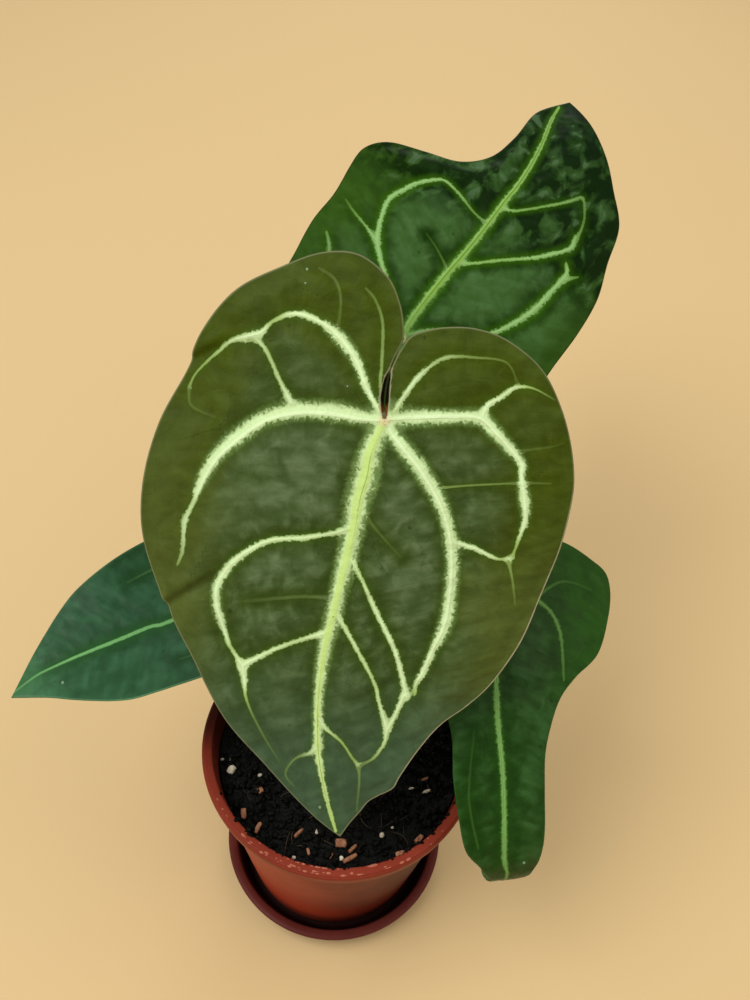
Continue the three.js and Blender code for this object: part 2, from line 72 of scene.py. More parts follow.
def curve_through(
    points: Sequence[Sequence[float]],
    spacing: float,
    pace: Pace = Pace.EVEN,
    dims: int = 0,
) -> np.ndarray:
    """Draws a smooth curve through points and cuts it into even steps.

    Args:
        points: Rows whose first columns are a place. Further columns ride along.
        spacing: The wanted step along the curve.
        pace: How the curve runs between its points.
        dims: How many columns are the place, or 0 for all of them.

    Returns:
        The stepped rows, the first and last point included.
    """
    rows = np.asarray(points, float)
    dims = dims or rows.shape[1]
    if pace is Pace.EVEN:
        padded = np.vstack([rows[:1], rows, rows[-1:]])
    else:
        padded = np.vstack([2 * rows[0] - rows[1], rows, 2 * rows[-1] - rows[-2]])
    gaps = np.linalg.norm(np.diff(padded[:, :dims], axis=0), axis=1) ** pace.value
    turns = np.linspace(0, 1, 24, endpoint=False)[:, None]
    drawn = []
    for k in range(len(rows) - 1):
        p0, p1, p2, p3 = padded[k : k + 4]
        d0, d1, d2 = gaps[k : k + 3]
        leave = d1 * ((p1 - p0) / d0 - (p2 - p0) / (d0 + d1) + (p2 - p1) / d1)
        reach = d1 * ((p2 - p1) / d1 - (p3 - p1) / (d1 + d2) + (p3 - p2) / d2)
        square = -3 * p1 + 3 * p2 - 2 * leave - reach
        cube = 2 * p1 - 2 * p2 + leave + reach
        drawn.append(p1 + turns * (leave + turns * (square + turns * cube)))
    line = np.vstack([*drawn, rows[-1:]])
    run = np.concatenate([[0], np.cumsum(np.linalg.norm(np.diff(line[:, :dims], axis=0), axis=1))])
    marks = np.linspace(0, run[-1], max(2, round(run[-1] / spacing)) + 1)
    return np.stack([np.interp(marks, run, column) for column in line.T], axis=1)


def nearest_on(spots: np.ndarray, line: np.ndarray) -> tuple[np.ndarray, np.ndarray]:
    """Finds the nearest place on a line for many spots.

    Args:
        spots: Flat places, one to a row.
        line: The line's points, one to a row.

    Returns:
        Each spot's distance from the line, and where on it, counted in points.
    """
    best = np.full(len(spots), np.inf)
    where = np.zeros(len(spots))
    for k, (start, step) in enumerate(zip(line[:-1], np.diff(line, axis=0))):
        share = np.clip((spots - start) @ step / (step @ step), 0, 1)
        gap = np.hypot(*(spots - start - share[:, None] * step).T)
        closer = gap < best
        best[closer] = gap[closer]
        where[closer] = k + share[closer]
    return best, where


def leftward(ways: np.ndarray) -> np.ndarray:
    """The unit directions to the left of flat directions."""
    return np.stack([-ways[:, 1], ways[:, 0]], axis=1) / np.hypot(*ways.T)[:, None]


def within(spots: np.ndarray, outline: np.ndarray) -> np.ndarray:
    """Tells which spots lie inside a closed outline.

    Args:
        spots: Flat places, one to a row.
        outline: The outline's points, the last not repeating the first.

    Returns:
        True for each spot inside.
    """
    x, y = spots.T
    result = np.zeros(len(spots), bool)
    for (x0, y0), (x1, y1) in zip(outline, np.roll(outline, -1, axis=0)):
        if y0 != y1:
            result ^= ((y0 > y) != (y1 > y)) & (x < (x1 - x0) * (y - y0) / (y1 - y0) + x0)
    return result


def spaced(spots: np.ndarray, kept: np.ndarray, gap: float) -> np.ndarray:
    """Picks the spots that stay clear of the kept ones and of each other.

    Args:
        spots: The spots to pick from, in order of merit.
        kept: Spots that stay whatever happens.
        gap: The least distance allowed.

    Returns:
        The picked spots.
    """
    cells: dict[tuple[int, int], list[np.ndarray]] = {}
    for spot in kept:
        cells.setdefault((int(spot[0] // gap), int(spot[1] // gap)), []).append(spot)
    picked = []
    for spot in spots:
        i, j = int(spot[0] // gap), int(spot[1] // gap)
        near = (
            other
            for di in (-1, 0, 1)
            for dj in (-1, 0, 1)
            for other in cells.get((i + di, j + dj), ())
        )
        if all(math.hypot(*(spot - other)) >= gap for other in near):
            cells.setdefault((i, j), []).append(spot)
            picked.append(spot)
    return np.array(picked).reshape(-1, 2)


def hump(distance: np.ndarray, width: np.ndarray | float) -> np.ndarray:
    """A rounded rise that is 1 on the line and 0 from width onwards."""
    return np.clip(1 - (distance / width) ** 2, 0, None) ** 1.5


def eased(value: np.ndarray, low: float, high: float) -> np.ndarray:
    """Rises smoothly from 0 at low to 1 at high."""
    share = np.clip((value - low) / (high - low), 0, 1)
    return share * share * (3 - 2 * share)


def rough_at(places: np.ndarray, grain: float, seed: float) -> np.ndarray:
    """Smooth random heights from -1 to 1 at places, in bumps as large as grain."""
    shift = Vector((seed, -seed, 2 * seed))
    return np.array([noise.noise(Vector(place) / grain + shift) for place in places])


# Shaders


def linear(shade: str) -> tuple[float, float, float, float]:
    """Turns a colour into the linear values that a shader takes.

    Args:
        shade: The colour, written as #rrggbb.

    Returns:
        Red, green, blue and a full cover.
    """
    parts = [int(shade[k : k + 2], 16) / 255 for k in (1, 3, 5)]
    red, green, blue = (c / 12.92 if c <= 0.04045 else ((c + 0.055) / 1.055) ** 2.4 for c in parts)
    return red, green, blue, 1.0


class Field:
    """A number that varies over a surface, so that sums on it are written as sums."""

    def __init__(self, graph: "Graph", socket: Socket) -> None:
        """Keeps the graph that the number lives in and the socket that gives it."""
        self.graph = graph
        self.socket = socket

    def _worked(self, operation: str, *terms: "Field | float") -> "Field":
        """Adds a Math node on the terms."""
        node = self.graph.add("ShaderNodeMath", {"operation": operation}, dict(enumerate(terms)))
        return Field(self.graph, node.outputs[0])

    def __add__(self, other: "Field | float") -> "Field":
        """The sum."""
        return self._worked("ADD", self, other)

    def __radd__(self, other: float) -> "Field":
        """The sum, with a plain number first."""
        return self._worked("ADD", other, self)

    def __sub__(self, other: "Field | float") -> "Field":
        """The difference."""
        return self._worked("SUBTRACT", self, other)

    def __rsub__(self, other: float) -> "Field":
        """The difference, with a plain number first."""
        return self._worked("SUBTRACT", other, self)

    def __mul__(self, other: "Field | float") -> "Field":
        """The product."""
        return self._worked("MULTIPLY", self, other)

    def __rmul__(self, other: float) -> "Field":
        """The product, with a plain number first."""
        return self._worked("MULTIPLY", other, self)

    def __truediv__(self, other: "Field | float") -> "Field":
        """The quotient."""
        return self._worked("DIVIDE", self, other)

    def __rtruediv__(self, other: float) -> "Field":
        """The quotient, with a plain number first."""
        return self._worked("DIVIDE", other, self)

    def __abs__(self) -> "Field":
        """The size without its sign."""
        return self._worked("ABSOLUTE", self)

    def power(self, exponent: float) -> "Field":
        """The number raised to a power."""
        return self._worked("POWER", self, exponent)

    def most(self, other: "Field | float") -> "Field":
        """The larger of two numbers."""
        return self._worked("MAXIMUM", self, other)

    def eased(self, low: float, high: float) -> "Field":
        """Turns the number into a smooth share.

        Args:
            low: Where the share is 0.
            high: Where it is 1, which may be the lower end.

        Returns:
            The share.
        """
        feeds = {"Value": self, "From Min": low, "From Max": high}
        node = self.graph.add("ShaderNodeMapRange", {"interpolation_type": "SMOOTHSTEP"}, feeds)
        return Field(self.graph, node.outputs["Result"])


Feed = Field | Socket | str | float | tuple

# What centres the noise node's values on 0 and brings most of them between -1 and 1
NOISE_MIDDLE, NOISE_SPREAD = 0.5, 3.2


class Graph:
    """The nodes of one material."""

    def __init__(self, name: str) -> None:
        """Starts an empty material.

        Args:
            name: The material's name.
        """
        self.material = bpy.data.materials.new(name)
        self.material.use_nodes = True
        self.tree = self.material.node_tree
        self.tree.nodes.clear()

    def add(
        self,
        kind: str,
        settings: Mapping[str, object] | None = None,
        feeds: Mapping[str | int, Feed] | None = None,
    ) -> bpy.types.Node:
        """Adds one node.

        Args:
            kind: Blender's name for the type of node.
            settings: The node's own options, set first.
            feeds: What goes into its sockets, by name or place: a number, a colour written
                as #rrggbb, or a link.

        Returns:
            The node.
        """
        node = self.tree.nodes.new(kind)
        for option, choice in (settings or {}).items():
            setattr(node, option, choice)
        for key, feed in (feeds or {}).items():
            socket = node.inputs[key]
            if isinstance(feed, Field):
                self.tree.links.new(feed.socket, socket)
            elif isinstance(feed, Socket):
                self.tree.links.new(feed, socket)
            else:
                socket.default_value = linear(feed) if isinstance(feed, str) else feed
        return node

    def attribute(self, name: str) -> Socket:
        """Reads three numbers that the mesh keeps at its points."""
        return self.add("ShaderNodeAttribute", {"attribute_name": name}).outputs["Vector"]

    def place(self) -> Socket:
        """The place on the piece, in metres."""
        return self.add("ShaderNodeTexCoord").outputs["Object"]

    def split(self, vector: Socket) -> tuple[Field, Field, Field]:
        """Takes a vector apart."""
        x, y, z = self.add("ShaderNodeSeparateXYZ", feeds={0: vector}).outputs
        return Field(self, x), Field(self, y), Field(self, z)

    def vector(self, x: Feed, y: Feed, z: Feed = 0.0) -> Socket:
        """Puts three numbers together."""
        return self.add("ShaderNodeCombineXYZ", feeds={0: x, 1: y, 2: z}).outputs[0]

    def noise(
        self, where: Socket, scale: float, detail: float = 2.0, twist: float = 0.0
    ) -> Field:
        """Random clouds from about -1 to 1.

        Args:
            where: The place.
            scale: How many clouds to a unit of length.
            detail: How many finer layers.
            twist: How far the clouds are pulled about.

        Returns:
            The clouds.
        """
        feeds = {"Vector": where, "Scale": scale, "Detail": detail, "Distortion": twist}
        node = self.add("ShaderNodeTexNoise", feeds=feeds)
        return (Field(self, node.outputs[0]) - NOISE_MIDDLE) * NOISE_SPREAD

    def cells(self, where: Socket, scale: float) -> Field:
        """The distance from scattered points, 0 at each of them."""
        node = self.add("ShaderNodeTexVoronoi", feeds={"Vector": where, "Scale": scale})
        return Field(self, node.outputs["Distance"])

    def blend(self, mask: Field | float, low: Feed, high: Feed) -> Socket:
        """Goes from one colour to another as mask goes from 0 to 1."""
        node = self.add("ShaderNodeMix", {"data_type": "RGBA"}, {0: mask, 6: low, 7: high})
        return node.outputs[2]

    def lit(self, colour: Socket, value: Field) -> Socket:
        """Makes a colour brighter where value is over 1 and darker where it is under."""
        feeds = {"Color": colour, "Value": value}
        return self.add("ShaderNodeHueSaturation", feeds=feeds).outputs[0]

    def bump(self, height: Field) -> Socket:
        """Turns heights in millimetres into a surface direction."""
        return self.add("ShaderNodeBump", feeds={"Height": height, "Distance": MM}).outputs[0]

    def finished(self, **feeds: Feed) -> bpy.types.Material:
        """Closes the material with its one surface shader.

        Args:
            feeds: The shader's sockets, with an underscore for each space.

        Returns:
            The material.
        """
        named = {key.replace("_", " "): feed for key, feed in feeds.items()}
        surface = self.add("ShaderNodeBsdfPrincipled", feeds=named)
        self.add("ShaderNodeOutputMaterial", feeds={"Surface": surface.outputs[0]})
        return self.material


@dataclass(frozen=True)
class LeafFinish:
    """How a leaf blade looks, above and below.

    The panels between the veins go from beside to panel, with paler patches of painted sheen,
    rim towards the margins and lobes, rim_low there towards the tip, and tip at the tip, which
    is partly painted sheen on the velvet leaf and partly painted dark reflection on the deep
    green one. Veins are vein in the middle, crest on their ridge as a painted highlight, thread
    where they are thin, and feather where their borders break up, spray tells how much and mist
    how far out. The main vein has midrib in the middle and a darker line of painted shade along
    its groove. glow and joint are the colours where the stalk meets the blade, pocket is the
    painted shade in the gap between the lobes, and margin is partly a painted highlight where
    light catches the edge. comb tells how the fine side nerves lean, and the wet setting how
    much of the far half looks wet, in dark pools of the pool colour and pale patches of painted
    reflection.
    """

    beside: str
    panel: str
    painted_sheen: str
    rim: str
    tip: str
    vein: str
    feather: str
    halo: str
    crest: str
    thread: str
    midrib: str
    groove_shade: str
    margin: str
    pool: str = "#041602"
    pocket: str = "#120f06"
    glow: str = "#e6cfa6"
    rim_low: str = ""
    spray: float = 1.0
    mist: float = 0.4
    halo_width: float = 2.2
    halo_share: float = 0.4
    midrib_share: float = 0.42
    gloss: float = 0.5
    shine: float = 0.18
    wet_and_glints: float = 0.0
    relief: float = 1.0
    mottle: float = 0.26
    painted_sheen_share: float = 0.6
    rim_from: float = 34.0
    rim_to: float = 62.0
    tip_from: float = 85.0
    tip_to: float = 140.0
    comb: Spot = (0.0, -0.5)
    under: str = "#5d7340"
    under_vein: str = "#93a86e"
    joint: str = "#7c3f1a"

    def upper(self, name: str) -> bpy.types.Material:
        """Makes the upper face's material.

        Args:
            name: The material's name.

        Returns:
            The material.
        """
        g = Graph(name)
        a, b, crest = g.split(g.attribute("flat"))
        flat = g.vector(a, b)
        away, half, along = g.split(g.attribute("vein"))
        pale, margin, main = g.split(g.attribute("trait"))
        lone, puff, pocket = g.split(g.attribute("relief"))

        # Patterns that several parts of the blade share
        fine = g.noise(flat, 1.7, detail=2.0)
        clouds = g.noise(flat, 0.035, detail=4.0)
        blotches = g.noise(flat, 0.15, detail=3.0, twist=0.6)
        lane = a + b * self.comb[0] + abs(b) * self.comb[1]
        combed = g.noise(g.vector(lane * 0.2, abs(b) * 0.045), 1.0, detail=3.0, twist=0.25)
        slant = along - away * 0.3
        streaks = g.noise(g.vector(slant * 0.95, away * 0.3), 1.0, detail=2.0) * lone
        sprays = g.noise(g.vector(slant * 0.3, away * 0.12), 1.0, detail=2.5, twist=0.6) * lone
        nerves = g.noise(g.vector(along * 0.24, away * 0.05), 1.0, detail=2.0)
        nerves = nerves * away.eased(14.0, 5.0) * lone
        pucker = 0.45 - g.cells(g.vector(lane * 0.17, b * 0.11), 1.0)
        folds = combed * 0.6 + nerves * 0.6

        # The panels between the veins, with painted sheen in paler patches
        panel = (away - half + blotches * 1.4).eased(0.0, 7.0)
        colour = g.blend(panel, self.beside, self.panel)
        rim = (abs(b) + clouds * 9.0).eased(self.rim_from, self.rim_to)
        rim = rim.most((clouds * 9.0 - a).eased(-12.0, 24.0) * 0.9)
        # Paler grey-green patches, most where the panels puff up: painted sheen
        painted_sheen = folds * 0.8 + blotches * 0.5 + pucker * 0.7 + puff * 0.25
        painted_sheen = painted_sheen.eased(-0.3, 0.9) * panel * (1.0 - rim * 0.7)
        colour = g.blend(painted_sheen * self.painted_sheen_share, colour, self.painted_sheen)
        outer = g.blend(a.eased(-5.0, 75.0), self.rim, self.rim_low or self.rim)
        colour = g.blend(rim * 0.85, colour, outer)
        # The tip colour: on the velvet leaf partly a painted bluish-grey sheen, on the deep green
        # leaf partly a painted dark reflection
        tip = (a + blotches * 6.0).eased(self.tip_from, self.tip_to)
        colour = g.blend(tip * 0.85, colour, self.tip)
        specks = (g.cells(flat, 0.055) + fine * 0.012).eased(0.06, 0.025)
        colour = g.blend(specks * 0.4, colour, self.pool)
        shade = blotches * 0.5 + folds * 0.7 + fine * 0.3 + pucker * 0.5
        colour = g.lit(colour, 1.0 + shade * self.mottle)

        # The wet film, which drowns the fine relief, with dark pools and pale painted reflections
        rough = self.gloss + blotches * 0.05 + fine * 0.04
        if self.wet_and_glints:
            film = g.noise(g.vector(a * 0.7, b), 0.13, detail=6.0, twist=0.55) + fine * 0.08
            here = (a + clouds * 14.0 + abs(b) * 0.1).eased(48.0, 84.0) * self.wet_and_glints
            colour = g.blend(here * 0.28, colour, self.pool)
            colour = g.blend(film.eased(0.35, -0.2) * here * 0.85, colour, self.pool)
            # Pale gleams in the sheen colour: painted reflections on the wet film
            colour = g.blend(film.eased(0.32, 0.55) * here * 0.6, colour, self.painted_sheen)
            rough = rough - here * 0.08
            pucker = pucker * (1.0 - here * 0.7)
            folds = folds * (1.0 - here * 0.5)

        # The veins with their torn borders
        out = away - half
        middle = (a * a + b * b).power(0.5)
        web = (middle + sprays * 1.6 + streaks * 0.8).eased(10.0, 3.0)
        colour = g.blend(web * 0.7, colour, self.feather)
        halo = (out - sprays * 0.6).eased(self.halo_width, -0.6) * pale
        colour = g.blend(halo * self.halo_share, colour, self.halo)
        cover = (0.35 - out) / (half * 0.6 + 0.35)
        torn = g.noise(flat, 0.46, detail=5.0, twist=1.3)
        broken = streaks * 0.24 + torn * 0.62 + sprays * main * 0.25
        broken = broken * half.eased(0.0, 1.1) * self.spray
        spread = (1.0 - out / (half * 0.35 + 0.3) - streaks * 0.3 - torn * 0.6).eased(0.0, 1.6)
        spread = spread * pale * half.eased(0.9, 2.4)
        colour = g.blend(spread * (main * 0.3 + 0.7) * self.mist, colour, self.feather)
        band = (cover - 0.36 - broken).eased(-0.14, 0.26) * pale
        solid = (cover - 0.25 - broken * 0.7).eased(-0.1, 0.85)
        woven = g.lit(g.blend(solid, self.feather, self.vein), 1.0 + streaks * 0.09)
        woven = g.blend(half.eased(1.6, 0.35) * 0.8, woven, self.thread)
        colour = g.blend(band * (solid * 0.55 + 0.42), colour, woven)
        # A brighter line on the side veins' ridge: painted highlight over the vein's own pale
        # colour
        ridge = (crest - half * 0.14).eased(0.42, -0.05) * band
        ridge = ridge * half.eased(0.5, 1.4) * (1.0 - main)
        colour = g.blend(ridge * 0.6, colour, self.crest)
        spine = (away - half * self.midrib_share + sprays * 0.1).eased(0.5, -0.7) * main * pale
        colour = g.blend(spine * 0.85, colour, self.midrib)
        # A darker line along the midrib's groove: painted shade
        seam = (crest + fine * 0.05).eased(0.38, 0.1) * spine * half.eased(0.4, 1.2)
        colour = g.blend(seam * 0.6, colour, self.groove_shade)

        # The joint, the margin with its painted highlight, and the painted shade in the gap between
        # the lobes
        near = (middle + fine * 0.3).eased(3.2, 0.9)
        colour = g.blend(near * 0.75, colour, self.glow)
        # The pale margin, strongest on the leaf's own left towards the tip: partly a painted
        # highlight where light catches the edge
        edge = margin.eased(0.8, 0.3) * (b.eased(-10.0, 45.0) * a.eased(-20.0, 50.0) * 0.65 + 0.25)
        colour = g.blend(edge, colour, self.margin)
        lip = pocket.eased(0.0, 0.15) * (1.0 - pocket.eased(0.3, 0.55))
        colour = g.blend(lip * 0.6, colour, self.margin)
        # Deep in the gap between the lobes the blade is painted near black, brown by the junction:
        # painted shade where the gap shows only shadow
        deep = pocket.eased(0.3, 0.6)
        colour = g.blend(deep, colour, g.blend(middle.eased(6.5, 3.5), self.pocket, self.joint))

        height = (folds * 0.2 + blotches * 0.2 + pucker * 0.5 + fine * 0.02) * self.relief
        height = height * (a.eased(self.tip_to + 20.0, self.tip_from) * 0.7 + 0.3)
        height = height + band * 0.1 + ridge * 0.1 + spine * 0.12 - seam * 0.22
        return g.finished(
            Base_Color=colour,
            Roughness=rough,
            Normal=g.bump(height),
            Specular_IOR_Level=self.shine,
        )

    def lower(self, name: str) -> bpy.types.Material:
        """Makes the underside's material, paler and duller than the upper face.

        Args:
            name: The material's name.

        Returns:
            The material.
        """
        g = Graph(name)
        a, b, _ = g.split(g.attribute("flat"))
        flat = g.vector(a, b)
        away, half, along = g.split(g.attribute("vein"))
        _, margin, _ = g.split(g.attribute("trait"))
        fine = g.noise(flat, 1.4, detail=2.0)
        clouds = g.noise(flat, 0.07, detail=4.0)
        net = g.cells(flat, 0.3)
        streaks = g.noise(g.vector(along * 0.8, away * 0.2), 1.0)
        colour = g.blend((clouds + fine * 0.3).eased(-1.2, 1.2) * 0.6, self.under, self.panel)
        colour = g.lit(colour, 1.0 + fine * 0.06)
        colour = g.blend(net.eased(0.55, 0.95) * 0.25, colour, self.under_vein)
        rib = (away - half * 0.5 - streaks * 0.2).eased(0.5, -0.3)
        colour = g.blend(rib * 0.9, colour, self.under_vein)
        colour = g.blend(margin.eased(0.6, 0.2) * 0.6, colour, self.margin)
        height = clouds * 0.1 + fine * 0.02 - net.eased(0.5, 1.0) * 0.06
        return g.finished(
            Base_Color=colour,
            Roughness=0.62 + fine * 0.04,
            Normal=g.bump(height),
            Specular_IOR_Level=0.3,
        )


@dataclass(frozen=True)
class PlasticFinish:
    """Moulded terracotta-coloured plastic with a soft shine, its inside dark with grime and shade.

    The inside darkens deeper below the lip, partly grime and partly painted shade. With the
    side shade set, the walls below the given height get painted light on the left and painted
    shade on the right, partly in the deep colour, and a painted leaf shadow darkens the left of
    the pot, mostly on the rim band.
    """

    body: str
    worn: str
    dirt: str
    gloss: float
    grime_and_shade: str = "#1c0d08"
    deep: str = "#6c2212"
    side_shade: float = 0.0
    side_shade_below: float = 0.0

    def material(self, name: str) -> bpy.types.Material:
        """Makes the material.

        Args:
            name: The material's name.

        Returns:
            The material.
        """
        g = Graph(name)
        where = g.place()
        x, y, z = g.split(where)
        clouds = g.noise(where, 38.0, detail=4.0)
        specks = g.noise(where, 520.0, detail=2.0)
        drawn = g.noise(g.vector(x * 60.0, y * 60.0, z * 9.0), 1.0, detail=3.0)
        scuffs = g.noise(g.vector(x * 45.0, y * 45.0, z * 700.0), 1.0, detail=2.0, twist=0.4)
        colour = g.blend((clouds * 0.6 + drawn * 0.5).eased(-1.1, 1.1), self.body, self.worn)
        colour = g.lit(colour, 1.0 + specks * 0.035 + scuffs * 0.03)
        splash = (g.noise(where, 120.0, detail=5.0) + clouds * 0.4).eased(0.55, 1.15)
        colour = g.blend(splash * 0.25, colour, self.dirt)
        if self.side_shade:
            # Painted light and shade on the walls below the rim band: lighter on the left, darker
            # and deeper in colour on the right
            shaded_side = (x * 24.0 + clouds * 0.3 + drawn * 0.25).eased(-0.9, 1.0)
            walls = z.eased(self.side_shade_below * MM, (self.side_shade_below - 4) * MM)
            colour = g.blend(walls * (shaded_side * 0.35 + 0.2), colour, self.deep)
            colour = g.lit(colour, 1.0 + walls * (0.65 - shaded_side * self.side_shade))
            # A painted leaf shadow over the left of the pot, mostly on the rim band
            leaf_shadow = (y * 30.0 + clouds * 0.25 + drawn * 0.2).eased(-0.7, 0.15)
            leaf_shadow = leaf_shadow * (0.0 - x).eased(0.0, 0.03)
            colour = g.blend(leaf_shadow * (0.8 - walls * 0.65), colour, self.grime_and_shade)
        # Inside, darker the deeper below the lip: grime and painted shade
        inside, depth, _ = g.split(g.attribute("hollow"))
        grime_and_shade = inside * (depth + clouds * 0.8 + drawn * 0.5).eased(0.2, 3.5)
        colour = g.blend(grime_and_shade * 0.9, colour, self.grime_and_shade)
        rough = self.gloss + clouds * 0.05 + splash * 0.2 + scuffs * 0.04 + grime_and_shade * 0.15
        height = specks * 0.012 + scuffs * 0.008 + clouds * 0.05
        return g.finished(
            Base_Color=colour,
            Roughness=rough,
            Normal=g.bump(height),
            Coat_Weight=0.02,
            Coat_Roughness=0.3,
            Specular_IOR_Level=0.08,
        )


@dataclass(frozen=True)
class GrainFinish:
    """Crumbly or woody stuff: soil, bark, perlite, dry scales."""

    dark: str
    light: str
    grain: float
    roughness: float
    relief: float
    stretch: float = 1.0
    shine: float = 0.3

    def material(self, name: str) -> bpy.types.Material:
        """Makes the material.

        Args:
            name: The material's name.

        Returns:
            The material.
        """
        g = Graph(name)
        x, y, z = g.split(g.place())
        where = g.vector(x, y, z * self.stretch)
        lumps = g.noise(where, 1.0 / (self.grain * MM), detail=5.0, twist=0.3)
        broad = g.noise(where, 0.12 / (self.grain * MM), detail=2.0)
        pits = g.cells(where, 0.8 / (self.grain * MM))
        colour = g.blend((lumps * 0.7 + broad * 0.5).eased(-0.9, 1.3), self.dark, self.light)
        colour = g.lit(colour, 0.75 + pits * 0.5)
        return g.finished(
            Base_Color=colour,
            Roughness=self.roughness + lumps * 0.12,
            Normal=g.bump((lumps * 0.5 - pits) * self.relief),
            Specular_IOR_Level=self.shine,
        )


@dataclass(frozen=True)
class StalkFinish:
    """A green leaf stalk with fine lines, browner towards its foot."""

    green: str
    brown: str
    joint: str
    foot: float = 100.0
    brown_to: float = 150.0

    def material(self, name: str) -> bpy.types.Material:
        """Makes the material.

        Args:
            name: The material's name.

        Returns:
            The material.
        """
        g = Graph(name)
        where = g.place()
        _, _, height = g.split(where)
        run, turn, swollen = g.split(g.attribute("stalk"))
        lines = g.noise(g.vector(turn * 9.0, run * 0.04), 1.0, detail=2.0)
        flecks = g.noise(g.vector(turn * 5.0, run * 0.6), 1.0, detail=3.0)
        clouds = g.noise(where, 60.0, detail=3.0)
        low = (height + clouds * 0.006).eased(self.brown_to * MM, self.foot * MM)
        colour = g.blend(low * 0.8, self.green, self.brown)
        colour = g.blend(swollen * 0.7, colour, self.joint)
        colour = g.lit(colour, 1.0 + lines * 0.1 + flecks * 0.07)
        colour = g.blend(flecks.eased(0.9, 1.3) * 0.5, colour, self.brown)
        return g.finished(
            Base_Color=colour,
            Roughness=0.45 + flecks * 0.06,
            Normal=g.bump(lines * 0.07 + flecks * 0.03),
            Specular_IOR_Level=0.45,
        )


@dataclass(frozen=True)
class FloorFinish:
    """The plain pale ground."""

    shade: str

    def material(self, name: str) -> bpy.types.Material:
        """Makes the material."""
        return Graph(name).finished(Base_Color=self.shade, Roughness=0.85, Specular_IOR_Level=0.2)


# Meshes


def make_piece(
    name: str,
    points: np.ndarray,
    faces: Faces,
    finishes: Sequence[bpy.types.Material | None],
    pick: Sequence[int] | None = None,
) -> bpy.types.Object:
    """Makes a smooth-shaded object.

    Args:
        name: The piece's name.
        points: Its points in millimetres.
        faces: Corner numbers, face by face.
        finishes: The materials it wears.
        pick: Which material each face wears, or None for the first everywhere.

    Returns:
        The object.
    """
    mesh = bpy.data.meshes.new(name)
    mesh.from_pydata((np.asarray(points) * MM).tolist(), [], faces)
    for finish in finishes:
        mesh.materials.append(finish)
    mesh.polygons.foreach_set("use_smooth", np.ones(len(faces), bool))
    if pick is not None:
        mesh.polygons.foreach_set("material_index", np.asarray(pick, np.int32))
    mesh.update()
    piece = bpy.data.objects.new(name, mesh)
    bpy.context.scene.collection.objects.link(piece)
    return piece


def mark(piece: bpy.types.Object, name: str, values: np.ndarray) -> None:
    """Keeps three numbers at each of a piece's points, under a name that its material reads."""
    kept = piece.data.attributes.new(name, "FLOAT_VECTOR", "POINT")
    kept.data.foreach_set("vector", np.ascontiguousarray(values, np.float32).ravel())


def hand_over(piece: bpy.types.Object, nodes: Iterable[str] = ()) -> None:
    """Ties a finished piece to the frame.

    Args:
        piece: The piece, in place.
        nodes: The solids that it stands for.
    """
    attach(piece, BODY)
    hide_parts(*nodes)
    LOG.info("%s: %d faces", piece.name, len(piece.data.polygons))


def rounded(corners: Sequence[Place], longest: float = 6.0) -> np.ndarray:
    """Rounds the corners of a profile and cuts its straights.

    Args:
        corners: Radius, height and rounding of each corner.
        longest: The longest straight piece left.

    Returns:
        The profile's points.
    """
    rows = np.asarray(corners, float)
    line = [rows[0, :2]]
    for before, here, after in zip(rows[:-2], rows[1:-1], rows[2:]):
        back, on = before[:2] - here[:2], after[:2] - here[:2]
        if here[2] > 0:
            start = here[:2] + back / np.hypot(*back) * min(here[2], 0.48 * np.hypot(*back))
            end = here[:2] + on / np.hypot(*on) * min(here[2], 0.48 * np.hypot(*on))
            for t in np.linspace(0, 1, 6):
                line.append((1 - t) ** 2 * start + 2 * t * (1 - t) * here[:2] + t * t * end)
        else:
            line.append(here[:2])
    line.append(rows[-1, :2])
    cut = [line[0]]
    for start, end in zip(line[:-1], line[1:]):
        length = math.dist(start, end)
        if length > 1.5:
            lead = 0.35 / length
            inner = np.linspace(lead, 1 - lead, max(2, math.ceil(length / longest) + 1))
            cut.extend(start + t * (end - start) for t in inner)
        cut.append(end)
    return np.array(cut)


def skinned(count: int, sides: int) -> Faces:
    """Joins rings of points and closes their two ends on a point each.

    Args:
        count: How many rings. Their points come first, and then the two end points.
        sides: How many points in each ring.

    Returns:
        The faces.
    """
    first, top = count * sides, (count - 1) * sides
    faces: Faces = []
    for k in range(sides):
        n = (k + 1) % sides
        faces += [(first, n, k), (first + 1, top + k, top + n)]
        for low in range(0, top, sides):
            faces.append((low + k, low + n, low + sides + n, low + sides + k))
    return faces


def circle(sides: int) -> np.ndarray:
    """The corners of a round with radius 1, one to a row."""
    turns = np.arange(sides) * 2 * math.pi / sides
    return np.stack([np.cos(turns), np.sin(turns)], axis=1)


def turned(profile: np.ndarray, sides: int) -> tuple[np.ndarray, Faces]:
    """Turns a profile round the upright axis.

    Args:
        profile: Radius and height of each point, from the axis underneath, outside and up,
            and back to the axis.
        sides: How many flats make the round.

    Returns:
        Points and faces.
    """
    rings = profile[1:-1]
    body = [np.column_stack([r * circle(sides), np.full(sides, z)]) for r, z in rings]
    points = np.vstack([*body, [[0, 0, profile[0, 1]], [0, 0, profile[-1, 1]]]])
    return points, skinned(len(rings), sides)


def tube(line: np.ndarray, radii: np.ndarray, sides: int) -> tuple[np.ndarray, Faces]:
    """Wraps a round skin about a line.

    Args:
        line: The line's points.
        radii: Its radius at each of them.
        sides: How many flats make the round.

    Returns:
        Points and faces, closed at both ends.
    """
    ways = np.gradient(line, axis=0)
    ways /= np.linalg.norm(ways, axis=1)[:, None]
    forward, sideways = circle(sides).T
    side = np.cross(ways[0], [0.3, 1.0, 0.2])
    rings = []
    for spot, way, radius in zip(line, ways, radii):
        side = side - way * (side @ way)
        side /= np.linalg.norm(side)
        around = np.outer(forward, side) + np.outer(sideways, np.cross(way, side))
        rings.append(spot + radius * around)
    return np.vstack([*rings, line[:1], line[-1:]]), skinned(len(line), sides)


